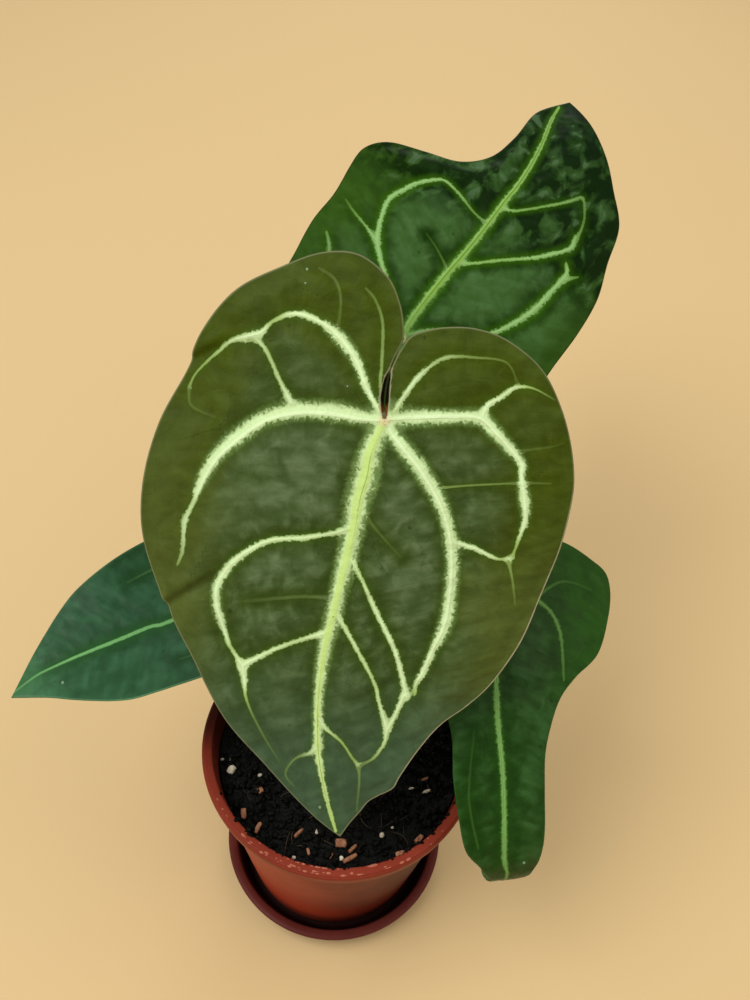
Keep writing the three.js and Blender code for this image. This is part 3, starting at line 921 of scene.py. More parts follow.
def pebble(detail: int) -> tuple[np.ndarray, np.ndarray]:
    """Makes a ball of triangles with radius 1.

    Args:
        detail: How often each of the first 20 triangles is cut into four.

    Returns:
        Points and faces.
    """
    golden = (1 + 5**0.5) / 2
    points = [
        (-1, golden, 0), (1, golden, 0), (-1, -golden, 0), (1, -golden, 0),
        (0, -1, golden), (0, 1, golden), (0, -1, -golden), (0, 1, -golden),
        (golden, 0, -1), (golden, 0, 1), (-golden, 0, -1), (-golden, 0, 1),
    ]
    faces = [
        (0, 11, 5), (0, 5, 1), (0, 1, 7), (0, 7, 10), (0, 10, 11), (1, 5, 9), (5, 11, 4),
        (11, 10, 2), (10, 7, 6), (7, 1, 8), (3, 9, 4), (3, 4, 2), (3, 2, 6), (3, 6, 8),
        (3, 8, 9), (4, 9, 5), (2, 4, 11), (6, 2, 10), (8, 6, 7), (9, 8, 1),
    ]
    spots = [np.array(p, float) / math.hypot(1, golden) for p in points]
    for _ in range(detail):
        halves: dict[tuple[int, int], int] = {}
        finer = []
        for face in faces:
            mids = []
            for i, j in zip(face, (*face[1:], face[0])):
                key = (min(i, j), max(i, j))
                if key not in halves:
                    halves[key] = len(spots)
                    middle = spots[i] + spots[j]
                    spots.append(middle / np.linalg.norm(middle))
                mids.append(halves[key])
            (i, j, k), (p, q, r) = face, mids
            finer += [(i, p, r), (j, q, p), (k, r, q), (p, q, r)]
        faces = finer
    return np.array(spots), np.array(faces)


def about(radius: float, turn: float, z: float) -> Place:
    """The place at a radius and a turn about the pot's axis, at a height."""
    return radius * math.cos(turn), radius * math.sin(turn), z


def knobbly(
    ball: np.ndarray, size: float, widest: float, rough: float, random: np.random.Generator
) -> np.ndarray:
    """The points of a crumb: a ball about as large as size, stretched up to widest, and rough."""
    shape = ball * (size * random.uniform(0.6, widest, 3))
    return shape * (1 + rough * random.standard_normal((len(ball), 1)).clip(-1, 1))


def mark_inside(piece: bpy.types.Object, profile: np.ndarray, sides: int) -> None:
    """Marks the inner side of a turned piece and how deep below its lip each point lies.

    Args:
        piece: The piece.
        profile: The section that it was turned from.
        sides: How many flats make the round.
    """
    rings = profile[1:-1]
    lip = int(np.argmax(rings[:, 1] + 1e-3 * np.arange(len(rings))))
    inside = np.repeat((np.arange(len(rings)) > lip).astype(float), sides)
    depth = np.repeat(rings[lip, 1] - rings[:, 1], sides)
    marks = np.column_stack([inside, depth, np.zeros(len(inside))])
    mark(piece, "hollow", np.vstack([marks, [0, 0, 0], [1, rings[lip, 1] - rings[-1, 1], 0]]))


class Heap:
    """Gathers many small shapes into one mesh."""

    def __init__(self) -> None:
        """Starts with nothing gathered."""
        self.points: list[np.ndarray] = []
        self.faces: Faces = []
        self.count = 0

    def put(self, points: np.ndarray, faces: Iterable[Sequence[int]]) -> None:
        """Adds one small shape.

        Args:
            points: Its points in millimetres.
            faces: Its corner numbers, face by face.
        """
        self.faces.extend(tuple(int(k) + self.count for k in face) for face in faces)
        self.points.append(points)
        self.count += len(points)

    def piece(self, name: str, finish: bpy.types.Material | None = None) -> bpy.types.Object:
        """Makes the piece that all of them are."""
        return make_piece(name, np.vstack(self.points), self.faces, [finish])


# Leaves


class Rank(Enum):
    """A vein's place in the leaf, with its weight in the quilting of the blade."""

    MAIN = 2.4
    SIDE = 1.9
    FINE = 1.0


MAIN, SIDE, FINE = Rank


@dataclass(frozen=True)
class Vein:
    """One vein over the flat leaf: a, b and half its width at each point of its path.

    pale tells how light it is, evenly spread from its start to its end, and lean how far its
    crest stands to the left of its middle, as a share of half its width.
    """

    rank: Rank
    path: tuple[Place, ...]
    pale: tuple[float, ...] = (1.0,)
    lean: float = 0.0

    def line(self, spacing: float) -> np.ndarray:
        """The vein's stepped line, its half width in the third column."""
        return curve_through(self.path, spacing, dims=2)

    def crest(self, line: np.ndarray) -> np.ndarray:
        """The line that the vein's crest follows."""
        aside = leftward(np.gradient(line[:, :2], axis=0))
        return line[:, :2] + self.lean * line[:, 2:3] * aside


@dataclass(frozen=True)
class Wave:
    """A wave along one margin: the side of the leaf, its height, its pitch and its start."""

    side: int
    height: float
    pitch: float
    start: float


@dataclass(frozen=True)
class Fold:
    """A crease that runs in from the margin, from one flat spot to another."""

    start: Spot
    end: Spot
    height: float
    width: float

    def lift(self, spots: np.ndarray) -> np.ndarray:
        """Tells how far the fold raises or lowers the blade.

        Args:
            spots: Flat places, one to a row.

        Returns:
            One height for each spot.
        """
        line = np.array([self.start, self.end], float)
        length = np.hypot(*(line[1] - line[0]))
        way = (line[1] - line[0]) / length
        across = (spots - line[0]) @ np.array([-way[1], way[0]])
        run = (spots - line[0]) @ way / length
        here = eased(run, -0.35, 0.35) * np.exp(-((across / (3.2 * self.width)) ** 2))
        valley = -np.exp(-((across / self.width) ** 2))
        step = -0.8 * np.tanh(across / self.width)
        return self.height * here * (valley + step)


@dataclass(frozen=True)
class Hold:
    """How a leaf is held in space and how it bends.

    heading turns from +X towards +Y, dip is downward, and roll lifts the leaf's own left side.
    sway bends the leaf to its left on the way to the tip, droop bends the tip down and
    lobe_droop the lobes. arch is the radius of the bend across: positive turns both edges down.
    """

    junction: Place
    heading: float
    dip: float
    roll: float
    length: float
    sway: float
    droop: float
    lobe_droop: float
    arch: float
    curl: float = 0.0
    curl_from: float = 0.8
    waves: tuple[Wave, ...] = ()

    def axes(self) -> np.ndarray:
        """Works out how the leaf stands.

        Returns:
            Its along, across and upward directions, one to a row.
        """
        heading, dip, roll = (math.radians(x) for x in (self.heading, self.dip, self.roll))
        ahead = np.array([math.cos(heading), math.sin(heading), 0])
        level = np.array([-math.sin(heading), math.cos(heading), 0])
        along = ahead * math.cos(dip) - np.array([0, 0, math.sin(dip)])
        across = level * math.cos(roll) + np.cross(along, level) * math.sin(roll)
        return np.array([along, across, np.cross(along, across)])

    def pitch(self, share: np.ndarray) -> np.ndarray:
        """Tells how far the middle line has bent downward.

        Args:
            share: Places along the leaf, as shares of its length.

        Returns:
            The bend there in radians.
        """
        lobe = np.where(share < 0, self.lobe_droop * share / 0.3, self.droop * share)
        curled = np.clip((share - self.curl_from) / (1 - self.curl_from), 0, None)
        return np.radians(lobe + self.curl * curled**2)

    def ways(self, share: np.ndarray) -> tuple[np.ndarray, np.ndarray]:
        """Tells how the middle line runs, in the leaf's own directions.

        Args:
            share: Places along the leaf, as shares of its length.

        Returns:
            The onward and the sideways direction at each of them.
        """
        pitch, swing = self.pitch(share), np.radians(self.sway * share)
        level = np.cos(pitch)
        onward = [level * np.cos(swing), level * np.sin(swing), -np.sin(pitch)]
        sideways = [-np.sin(swing), np.cos(swing), np.zeros_like(swing)]
        return np.stack(onward, axis=1), np.stack(sideways, axis=1)

    def spine(self, a: np.ndarray) -> np.ndarray:
        """Follows the middle line from the junction.

        Args:
            a: Distances along it.

        Returns:
            Where it has got to at each of them, in the leaf's own directions.
        """
        step = 0.5
        ticks = np.arange(-0.45 * self.length, 1.1 * self.length, step)
        columns = []
        for part in self.ways((ticks + 0.5 * step) / self.length)[0].T:
            run = np.concatenate([[0], np.cumsum(part)]) * step
            grid = np.append(ticks, ticks[-1] + step)
            columns.append(np.interp(a, grid, run) - np.interp(0, grid, run))
        return np.stack(columns, axis=1)

    def surface(self, spots: np.ndarray) -> np.ndarray:
        """Bends the flat leaf into its place.

        Args:
            spots: Flat places, one to a row.

        Returns:
            The places in space over them.
        """
        a, b = spots.T
        tangent, sideways = self.ways(a / self.length)
        height = -self.arch * (1 - np.cos(b / self.arch))
        for wave in self.waves:
            weight = (b / (0.48 * self.length)) ** 2
            ripple = np.sin(2 * math.pi * a / wave.pitch + math.radians(wave.start))
            height = height + np.where(wave.side * b > 0, wave.height * weight * ripple, 0)
        local = self.spine(a) + (self.arch * np.sin(b / self.arch))[:, None] * sideways
        local = local + height[:, None] * np.cross(tangent, sideways)
        return np.array(self.junction) + local @ self.axes()

    def normals(self, spots: np.ndarray) -> np.ndarray:
        """Tells which way the bent leaf faces.

        Args:
            spots: Flat places, one to a row.

        Returns:
            The upward directions over them.
        """
        step = 0.5
        onward = self.surface(spots + [step, 0]) - self.surface(spots - [step, 0])
        sideways = self.surface(spots + [0, step]) - self.surface(spots - [0, step])
        up = np.cross(onward, sideways)
        return up / np.linalg.norm(up, axis=1)[:, None]


@dataclass(frozen=True)
class Sheet:
    """A leaf's flat mesh, with what its points know about the veins and the margin."""

    spots: np.ndarray
    triangles: np.ndarray
    rim: np.ndarray
    margin: np.ndarray
    away: np.ndarray
    crest: np.ndarray
    half: np.ndarray
    along: np.ndarray
    pale: np.ndarray
    main: np.ndarray
    ridge: np.ndarray
    rib: np.ndarray
    calm: np.ndarray
    lone: np.ndarray
    pocket: np.ndarray


@dataclass(frozen=True)
class Leaf:
    """One leaf blade: its outline, its veins, how it is held and how it looks."""

    name: str
    hold: Hold
    finish: LeafFinish
    left: tuple[Spot, ...]
    right: tuple[Spot, ...]
    slit: tuple[Spot, ...]
    veins: tuple[Vein, ...]
    bow: float = 0.0
    folds: tuple[Fold, ...] = ()
    pocket: tuple[Spot, ...] = ()
    pocket_depth: float = 2.6
    pocket_flanks: tuple[float, ...] = (-3, -2.5, -2, -1.5, -1, 1, 1.5, 2, 2.5, 3)
    flanks: tuple[float, ...] = (0.75, -0.75, 1.6, -1.6)
    flank_gap: float = 0.45
    pocket_clear: float = 3.4
    vein_clear: float = 2.2
    web: float = 0.9
    grain: float = 1.05
    middle: float = 1.1
    edge: float = 0.7
    edge_round: float = 0.35
    quilt: float = 2.1
    quilt_width: float = 6.0
    ripple: float = 0.3
    seed: float = 3.0

    def outline(self) -> np.ndarray:
        """Draws the flat outline with the slit between the lobes.

        Returns:
            Its points, once round.
        """
        right = curve_through(self.right, self.grain)[::-1]
        left = curve_through(self.left, self.grain)[1:]
        mouth, across = self._mouth()
        shares, gaps = np.array(self.slit).T
        steps = np.linspace(shares[0], 0.985, max(4, round(np.hypot(*mouth) / self.grain)))
        centres = self._seam(steps)
        aside = np.interp(steps, shares, gaps)[:, None] * across
        return np.vstack([centres - aside, right, left, (centres + aside)[::-1]])

    def _mouth(self) -> tuple[np.ndarray, np.ndarray]:
        """Finds how the slit runs.

        Returns:
            Its open end, and the way across it towards the left lobe.
        """
        mouth = 0.5 * (np.array(self.left[-1]) + np.array(self.right[-1]))
        across = np.array([mouth[1], -mouth[0]]) / np.hypot(*mouth)
        return mouth, across if across[1] > 0 else -across

    def _seam(self, shares: np.ndarray) -> np.ndarray:
        """The slit's middle line, at shares of its length from the junction."""
        mouth, across = self._mouth()
        return shares[:, None] * mouth - self.bow * np.sin(math.pi * shares)[:, None] * across

    def sheet(self) -> Sheet:
        """Cuts the flat leaf into triangles that follow its outline and its veins.

        Returns:
            The flat mesh, with what its points know.
        """
        outline = self.outline()
        lines = [vein.line(self.grain) for vein in self.veins]
        spots, triangles, rim = self._triangles(outline, lines)
        margin, _ = nearest_on(spots, np.vstack([outline, outline[:1]]))
        count = len(spots)
        reach, second = np.full(count, np.inf), np.full(count, np.inf)
        crest, half, along, pale, main, joined = (np.zeros(count) for _ in range(6))
        ridge, rib, calm = (np.zeros(count) for _ in range(3))
        for k, (vein, line) in enumerate(zip(self.veins, lines)):
            distance, where = nearest_on(spots, line[:, :2])
            width = np.interp(where, np.arange(len(line)), line[:, 2])
            aside = nearest_on(spots, vein.crest(line))[0] if vein.lean else distance
            gap = distance - width
            closer = gap < reach
            second = np.where(closer, reach, np.minimum(second, gap))
            reach = np.where(closer, gap, reach)
            crest[closer] = aside[closer]
            half[closer] = width[closer]
            along[closer] = where[closer] * self.grain + 37.0 * k
            share = where / (len(line) - 1)
            light = np.interp(share, np.linspace(0, 1, len(vein.pale)), vein.pale)
            joined += light * np.exp(-gap / self.web)
            pale[closer] = light[closer]
            main[closer] = float(vein.rank is MAIN)
            top = np.clip(0.2 * width, 0.12, 0.5) * hump(aside, np.clip(0.5 * width, 0.7, 1.6))
            ridge = np.maximum(ridge, top)
            deep = np.clip(0.7 * width, 0.5, 1.9) * hump(distance, np.clip(0.62 * width, 0.9, 1.9))
            rib = np.maximum(rib, deep)
            weight = vein.rank.value * np.clip(width / 1.2, 0.3, 1)
            calm += weight * np.exp(-((distance / self.quilt_width) ** 2))
        away = half - self.web * np.log(joined + (1 - pale) * np.exp(-reach / self.web))
        lone = eased(second - reach, 0, 2.2)
        marks = (margin, away, crest, half, along, pale, main, ridge, rib, calm, lone)
        return Sheet(spots, triangles, rim, *marks, self._hollow(spots))

    def _hollow(self, spots: np.ndarray) -> np.ndarray:
        """Tells how far the lobes' inner edges turn down beside the slit.

        Args:
            spots: Flat places, one to a row.

        Returns:
            From 0 to 1 for each spot.
        """
        if not self.pocket:
            return np.zeros(len(spots))
        mouth, across = self._mouth()
        run = spots @ mouth / (mouth @ mouth)
        aside = np.abs((spots - self._seam(run)) @ across)
        shares, widths = np.array(self.pocket).T
        width = np.interp(run, shares, widths)
        ends = eased(run, shares[0] - 0.04, shares[0]) * eased(run, shares[-1], shares[-1] - 0.2)
        return np.clip(1 - (aside / width) ** 2, 0, 1) * ends

    def _spread(self, outline: np.ndarray, lines: Sequence[np.ndarray]) -> np.ndarray:
        """Spreads the flat leaf's points.

        Args:
            outline: The closed outline.
            lines: The veins' lines.

        Returns:
            The points of both, a row just inside the outline, rows beside the veins and the
            slit, and an even grid elsewhere.
        """
        closed = np.vstack([outline, outline[:1]])
        middles = np.vstack([line[:, :2] for line in lines])
        flanks = []
        for line in lines:
            aside = leftward(np.gradient(line[:, :2], axis=0))
            flanks += [line[:, :2] + step * aside for step in self.flanks]
        if self.pocket:
            mouth, across = self._mouth()
            seam = self._seam(np.arange(-1.5 / np.hypot(*mouth), 1, 0.55 / np.hypot(*mouth)))
            flanks += [seam + step * across for step in self.pocket_flanks]
        inward = leftward(np.roll(outline, -1, axis=0) - np.roll(outline, 1, axis=0))
        brim = outline + self.edge_round * inward
        brim = np.where(within(brim, outline)[:, None], brim, outline - self.edge_round * inward)
        brim = brim[within(brim, outline) & (nearest_on(brim, closed)[0] > 0.8 * self.edge_round)]
        low, high = outline.min(axis=0), outline.max(axis=0)
        rows = np.arange(low[1], high[1], self.grain * math.sqrt(0.75))
        columns = np.arange(low[0], high[0], self.grain)
        shifts = [0.5 * self.grain * (k % 2) for k in range(len(rows))]
        grid = np.array([(x + shift, y) for shift, y in zip(shifts, rows) for x in columns])
        grid = grid[within(grid, outline)]
        grid = grid[nearest_on(grid, closed)[0] > 0.85 * self.grain]
        if self.pocket:
            grid = grid[nearest_on(grid, seam)[0] > self.pocket_clear]
        for line in lines:
            grid = grid[nearest_on(grid, line[:, :2])[0] > self.vein_clear]
        flank = np.vstack(flanks)
        flank = flank[within(flank, outline)]
        flank = flank[nearest_on(flank, closed)[0] > 0.7]
        fixed = np.vstack([outline, middles, brim])
        return np.vstack([fixed, spaced(flank, fixed, self.flank_gap), grid])

    def _triangles(
        self, outline: np.ndarray, lines: Sequence[np.ndarray]
    ) -> tuple[np.ndarray, np.ndarray, np.ndarray]:
        """Fills the outline with triangles.

        Args:
            outline: The closed outline.
            lines: The veins' lines, which the triangles' sides follow.

        Returns:
            The spots, the triangles, and which spots lie on the outline.
        """
        edges = []
        start = len(outline)
        for line in lines:
            edges += [(k, k + 1) for k in range(start, start + len(line) - 1)]
            start += len(line)
        ring = [list(range(len(outline)))]
        spots = [Vector(spot) for spot in self._spread(outline, lines)]
        made = delaunay_2d_cdt(spots, edges, ring, 0, 1e-4, False)
        flat = np.array([tuple(v) for v in made[0]])
        triangles = np.array([f for f in made[2] if len(f) == 3])
        triangles = triangles[within(flat[triangles].mean(axis=1), outline)]
        used = np.unique(triangles)
        renumber = np.full(len(flat), -1)
        renumber[used] = np.arange(len(used))
        flat, triangles = flat[used], renumber[triangles]
        sides = np.vstack([triangles[:, pair] for pair in ([0, 1], [1, 2], [2, 0])])
        pairs, counts = np.unique(np.sort(sides, axis=1), axis=0, return_counts=True)
        rim = np.zeros(len(flat), bool)
        rim[pairs[counts == 1].ravel()] = True
        return flat, triangles, rim

    def heights(self, sheet: Sheet) -> tuple[np.ndarray, np.ndarray]:
        """The heights of the upper and lower face above the blade's plain middle surface.

        Args:
            sheet: The flat leaf.

        Returns:
            Two arrays, one number for each spot.
        """
        a, b = sheet.spots.T
        flat = np.column_stack([sheet.spots, np.zeros(len(a))])
        puffed = np.exp(-sheet.calm) * self.quilt * eased(sheet.margin, -2, 9)
        lane = a + self.finish.comb[0] * b + self.finish.comb[1] * np.abs(b)
        combed = np.column_stack([lane, 0.2 * np.abs(b), np.zeros(len(a))])
        ripples = self.ripple * rough_at(combed, 5.5, self.seed)
        ripples = ripples * eased(sheet.away - sheet.half, 0.5, 6)
        ripples = ripples + 0.5 * self.ripple * rough_at(flat, 3.4, self.seed + 9)
        swell = 0.8 * rough_at(flat, 30.0, self.seed + 5)
        shared = puffed - 0.45 * self.quilt + ripples + swell
        shared = shared * eased(sheet.margin, -1.5, 7)
        shared = shared - self.pocket_depth * sheet.pocket
        for fold in self.folds:
            shared = shared + fold.lift(sheet.spots)
        body = 0.5 * (self.edge + (self.middle - self.edge) * eased(sheet.margin, 0, 18))
        bevel = np.sqrt(np.clip(1 - (1 - np.clip(sheet.margin / self.edge_round, 0, 1)) ** 2, 0, 1))
        body = np.where(sheet.rim, 0, body * bevel)
        inner = eased(sheet.margin, 0.2, 1.2)
        return shared + body + sheet.ridge * inner, shared - body - sheet.rib * inner

    def blade(self) -> bpy.types.Object:
        """Builds the blade, dresses both faces and ties it to the frame.

        Returns:
            The blade.
        """
        sheet = self.sheet()
        upper, lower = self.heights(sheet)
        base, normals = self.hold.surface(sheet.spots), self.hold.normals(sheet.spots)
        inner = ~sheet.rim
        under = np.arange(len(base))
        under[inner] = len(base) + np.arange(inner.sum())
        top, bottom = (base + height[:, None] * normals for height in (upper, lower))
        points = np.vstack([top, bottom[inner]])
        below = under[sheet.triangles[:, ::-1]]
        faces = [*map(tuple, sheet.triangles.tolist()), *map(tuple, below.tolist())]
        count = len(sheet.triangles)
        looks = [self.finish.upper(f"{self.name}_upper"), self.finish.lower(f"{self.name}_lower")]
        piece = make_piece(f"{self.name}_blade", points, faces, looks, [0] * count + [1] * count)
        origin = np.concatenate([np.arange(len(base)), np.flatnonzero(inner)])
        marks = {
            "flat": [sheet.spots, sheet.crest],
            "vein": [sheet.away, sheet.half, sheet.along],
            "trait": [sheet.pale, sheet.margin, sheet.main],
            "relief": [sheet.lone, np.exp(-sheet.calm), sheet.pocket],
        }
        for name, columns in marks.items():
            mark(piece, name, np.column_stack(columns)[origin])
        self._lay_out(piece, sheet.spots[origin], count)
        hand_over(piece, [self.name])
        return piece

    def _lay_out(self, piece: bpy.types.Object, spots: np.ndarray, count: int) -> None:
        """Lays both faces out side by side for the bake.

        Args:
            piece: The blade.
            spots: The flat spot of each of its points.
            count: How many of its faces are on top.
        """
        corners = np.zeros(len(piece.data.loops), np.int32)
        piece.data.loops.foreach_get("vertex_index", corners)
        low, high = spots.min(axis=0), spots.max(axis=0)
        scale = min(0.97 / (high[0] - low[0]), 0.48 / (high[1] - low[1]))
        places = (spots - low)[:, ::-1] * scale + 0.01
        laid = places[corners]
        laid[3 * count :, 0] += 0.5
        layer = piece.data.uv_layers.new(name="OFBake")
        layer.data.foreach_set("uv", np.ascontiguousarray(laid, np.float32).ravel())


@dataclass(frozen=True)
class Dew:
    """Small water drops that lie on a leaf: the flat spot and the radius of each."""

    leaf: Leaf
    drops: tuple[Place, ...]
    # Paler than the leaf: partly a painted glint
    finish: PlasticFinish = PlasticFinish("#6f8f6a", "#7c9a76", "#8ba684", 0.06)

    def build(self, blade: bpy.types.Object) -> None:
        """Builds the drops, dresses them and ties them to the frame.

        Args:
            blade: The leaf's blade, which they lie on.
        """
        count = len(blade.data.vertices)
        points, spots = np.zeros(3 * count), np.zeros(3 * count)
        blade.data.vertices.foreach_get("co", points)
        blade.data.attributes["flat"].data.foreach_get("vector", spots)
        points, spots = points.reshape(-1, 3) / MM, spots.reshape(-1, 3)
        ball, faces = pebble(2)
        heap = Heap()
        for a, b, radius in self.drops:
            nearest = int(np.argmin(np.hypot(spots[:, 0] - a, spots[:, 1] - b)))
            up = self.leaf.hold.normals(np.array([[a, b]], float))[0]
            side = np.cross(up, [0.9, 0.4, 0.1])
            side /= np.linalg.norm(side)
            axes = np.array([side, np.cross(up, side), up])
            shape = ball * [radius, 0.85 * radius, 0.5 * radius]
            heap.put(shape @ axes + points[nearest], faces)
        name = f"{self.leaf.name}_drops"
        hand_over(heap.piece(name, self.finish.material(name)))


# Stalks and crown


@dataclass(frozen=True)
class Stalk:
    """A leaf stalk, from its socket in the crown to the swollen joint under the blade."""

    name: str
    leaf: Leaf
    line: tuple[Place, ...]
    finish: StalkFinish
    radius: float = 2.4
    socket: float = 4.0
    joint_radius: float = 3.0
    joint_length: float = 13.0
    step: float = 1.5
    sides: int = 24

    def path(self) -> np.ndarray:
        """Draws the stalk's middle line, up to the blade's middle surface.

        Returns:
            Its points, a step apart.
        """
        here = np.zeros((1, 2))
        top, up = self.leaf.hold.surface(here)[0], self.leaf.hold.normals(here)[0]
        first, second = np.array(self.line[0]), np.array(self.line[1])
        way = (second - first) / np.linalg.norm(second - first)
        rows = [first - self.socket * way, first, first + 2 * self.socket * way, *self.line[1:]]
        rows += [top - 5.3 * up, top - 0.9 * up]
        return curve_through(rows, self.step, Pace.MEASURED)

    def build(self) -> None:
        """Builds the stalk, dresses it and ties it to the frame."""
        line = self.path()
        run = np.arange(len(line)) * self.step
        left = run[-1] - run
        swollen = eased(left, self.joint_length, self.joint_length - 5) * eased(left, -1, 1)
        sheath = eased(run, 34, 6)
        radii = self.radius + (self.joint_radius - self.radius) * swollen + 0.6 * sheath
        radii = radii + 0.05 * np.sin(run * 0.7)
        points, faces = tube(line, radii, self.sides)
        piece = make_piece(f"{self.name}_skin", points, faces, [self.finish.material(self.name)])
        ring = np.repeat(np.arange(len(line)), self.sides)
        turn = np.tile(np.arange(self.sides) / self.sides, len(line))
        angle = np.abs(turn - 0.5) * 2
        marks = np.column_stack([run[ring], angle, swollen[ring]])
        mark(piece, "stalk", np.vstack([marks, [run[0], 0, 0], [run[-1], 0, 1]]))
        hand_over(piece, [self.name])


@dataclass(frozen=True)
class Crown:
    """The short stem that the stalks stand in, ringed by old leaf scars and dry sheaths.

    Each corner of its section is a radius, a height and a rounding.
    """

    corners: tuple[Place, ...] = (
        (0, 84, 0), (8.7, 84, 2), (8.7, 99, 2), (10.6, 103, 2.5), (9.6, 108, 3), (6.8, 113, 3),
        (0, 115.6, 0),
    )
    step: float = 0.8
    sides: int = 72
    finish: GrainFinish = GrainFinish("#3d2c17", "#8a7443", 1.6, 0.75, 0.3, stretch=0.35)

    def build(self) -> None:
        """Builds the crown, dresses it and ties it to the frame."""
        points, faces = turned(rounded(self.corners, self.step), self.sides)
        radial = points * [1, 1, 0]
        length = np.maximum(np.linalg.norm(radial, axis=1), 1e-6)[:, None]
        fibres = rough_at(points * [1, 1, 0.15], 1.1, 8.0)
        scars = np.sin(points[:, 2] * 2.3 + 2.5 * rough_at(points, 9.0, 4.0))
        push = 0.22 * fibres + 0.28 * scars - 0.3
        points = points + radial / length * (push * eased(length[:, 0], 0.5, 3))[:, None]
        piece = make_piece("crown_stem", points, faces, [self.finish.material("crown_bark")])
        hand_over(piece, ["crown"])


# Pot, saucer and potting mix


@dataclass(frozen=True)
class Pot:
    """The round nursery pot: a tapering shell with a thick rim band and a foot ring."""

    rim_radius: float = 60.0
    top: float = 108.0
    rim_band: float = 9.4
    rim_taper: float = 1.4
    rim_ledge: float = 3.0
    rim_width: float = 4.7
    base_radius: float = 42.0
    bottom: float = 2.8
    wall: float = 2.0
    floor: float = 2.4
    foot: float = 1.2
    drains: int = 6
    drain_radius: float = 4.0
    drain_circle: float = 25.0
    sides: int = 192
    drop_count: int = 60
    seed: int = 5
    # The drops are paler than the pot: partly a painted glint
    drop_finish: PlasticFinish = PlasticFinish("#a8604a", "#b46c54", "#c08a70", 0.08)
    # Its side shade paints light on the left of the walls and shade on their right
    finish: PlasticFinish = PlasticFinish(
        "#7c2e1e", "#8b3827", "#8a4a36", 0.42, side_shade=1.25, side_shade_below=98.6
    )

    def outer_radius(self, z: float) -> float:
        """Measures the body, without its rim band.

        Args:
            z: The height.

        Returns:
            The outside radius there.
        """
        share = (z - self.bottom) / (self.top - self.rim_band - self.bottom)
        shoulder = self.rim_radius - self.rim_taper - self.rim_ledge
        return self.base_radius + share * (shoulder - self.base_radius)

    def profile(self) -> np.ndarray:
        """Draws the shell's section.

        Returns:
            Its points, from the axis underneath round to the axis inside.
        """
        rim, top = self.rim_radius, self.top
        band = top - self.rim_band
        shoulder = self.outer_radius(band)
        inner = self.base_radius - 4
        floor_top = self.bottom + self.foot + self.floor
        corners = [
            (0, self.bottom + self.foot, 0),
            (inner - self.foot, self.bottom + self.foot, 0.5),
            (inner, self.bottom, 0.5),
            (self.base_radius - 0.4, self.bottom, 1.2),
            (self.outer_radius(band - 2.2) - 0.1, band - 2.2, 0.8),
            (shoulder + 0.3, band - 1.0, 0.6),
            (shoulder + 0.4, band + 0.2, 0.5),
            (rim - self.rim_taper, band + 0.6, 0.9),
            (rim - 0.1, top - 2.2, 0.6),
            (rim - 0.45, top - 0.7, 0.35),
            (rim - 0.85, top - 0.75, 0.2),
            (rim - 1.1, top, 0.4),
            (rim - self.rim_width, top, 1.1),
            (rim - self.rim_width - 0.4, top - 3.5, 1.0),
            (shoulder - self.wall, band, 1.0),
            (self.outer_radius(floor_top) - self.wall, floor_top, 1.5),
            (0, floor_top, 0),
        ]
        return rounded(corners)

    def drops(self) -> None:
        """Builds the small water drops that catch the light on the front of the rim."""
        random = np.random.default_rng(self.seed)
        ball, faces = pebble(2)
        heap = Heap()
        for _ in range(self.drop_count):
            turn = math.radians(random.normal(-95, 26))
            size = 0.25 + 0.5 * random.random() ** 2
            shape = ball * [0.8 * size, size * random.uniform(1.0, 2.6), 0.35 * size]
            spin = np.array(Matrix.Rotation(turn, 3, "Z").transposed())
            radius = self.rim_radius - random.choice([1.4, 2.2, 4.0])
            heap.put(shape @ spin + about(radius, turn, self.top), faces)
        hand_over(heap.piece("rim_drops", self.drop_finish.material("glinting_water_drops")))

    def build(self) -> None:
        """Builds the pot with its drain holes, dresses it and ties it to the frame."""
        profile = self.profile()
        shell = make_piece("pot_solid", *turned(profile, self.sides), [])
        mark_inside(shell, profile, self.sides)
        holes = Heap()
        corners = [(0, -2), (self.drain_radius, -2), (self.drain_radius, 10), (0, 10)]
        plug, plug_faces = turned(np.array(corners, float), 32)
        for k in range(self.drains):
            turn = 2 * math.pi * k / self.drains
            holes.put(plug + about(self.drain_circle, turn, 0), plug_faces)
        drill = holes.piece("drill")
        cut = shell.modifiers.new("drains", "BOOLEAN")
        cut.operation = "DIFFERENCE"
        cut.solver = "EXACT"
        cut.object = drill
        seen = shell.evaluated_get(bpy.context.evaluated_depsgraph_get())
        mesh = bpy.data.meshes.new_from_object(seen)
        piece = bpy.data.objects.new("pot_shell", mesh)
        bpy.context.scene.collection.objects.link(piece)
        bpy.data.objects.remove(shell)
        bpy.data.objects.remove(drill)
        mesh.materials.clear()
        mesh.materials.append(self.finish.material("pot_plastic"))
        mesh.polygons.foreach_set("use_smooth", np.ones(len(mesh.polygons), bool))
        hand_over(piece, ["pot"])
        self.drops()


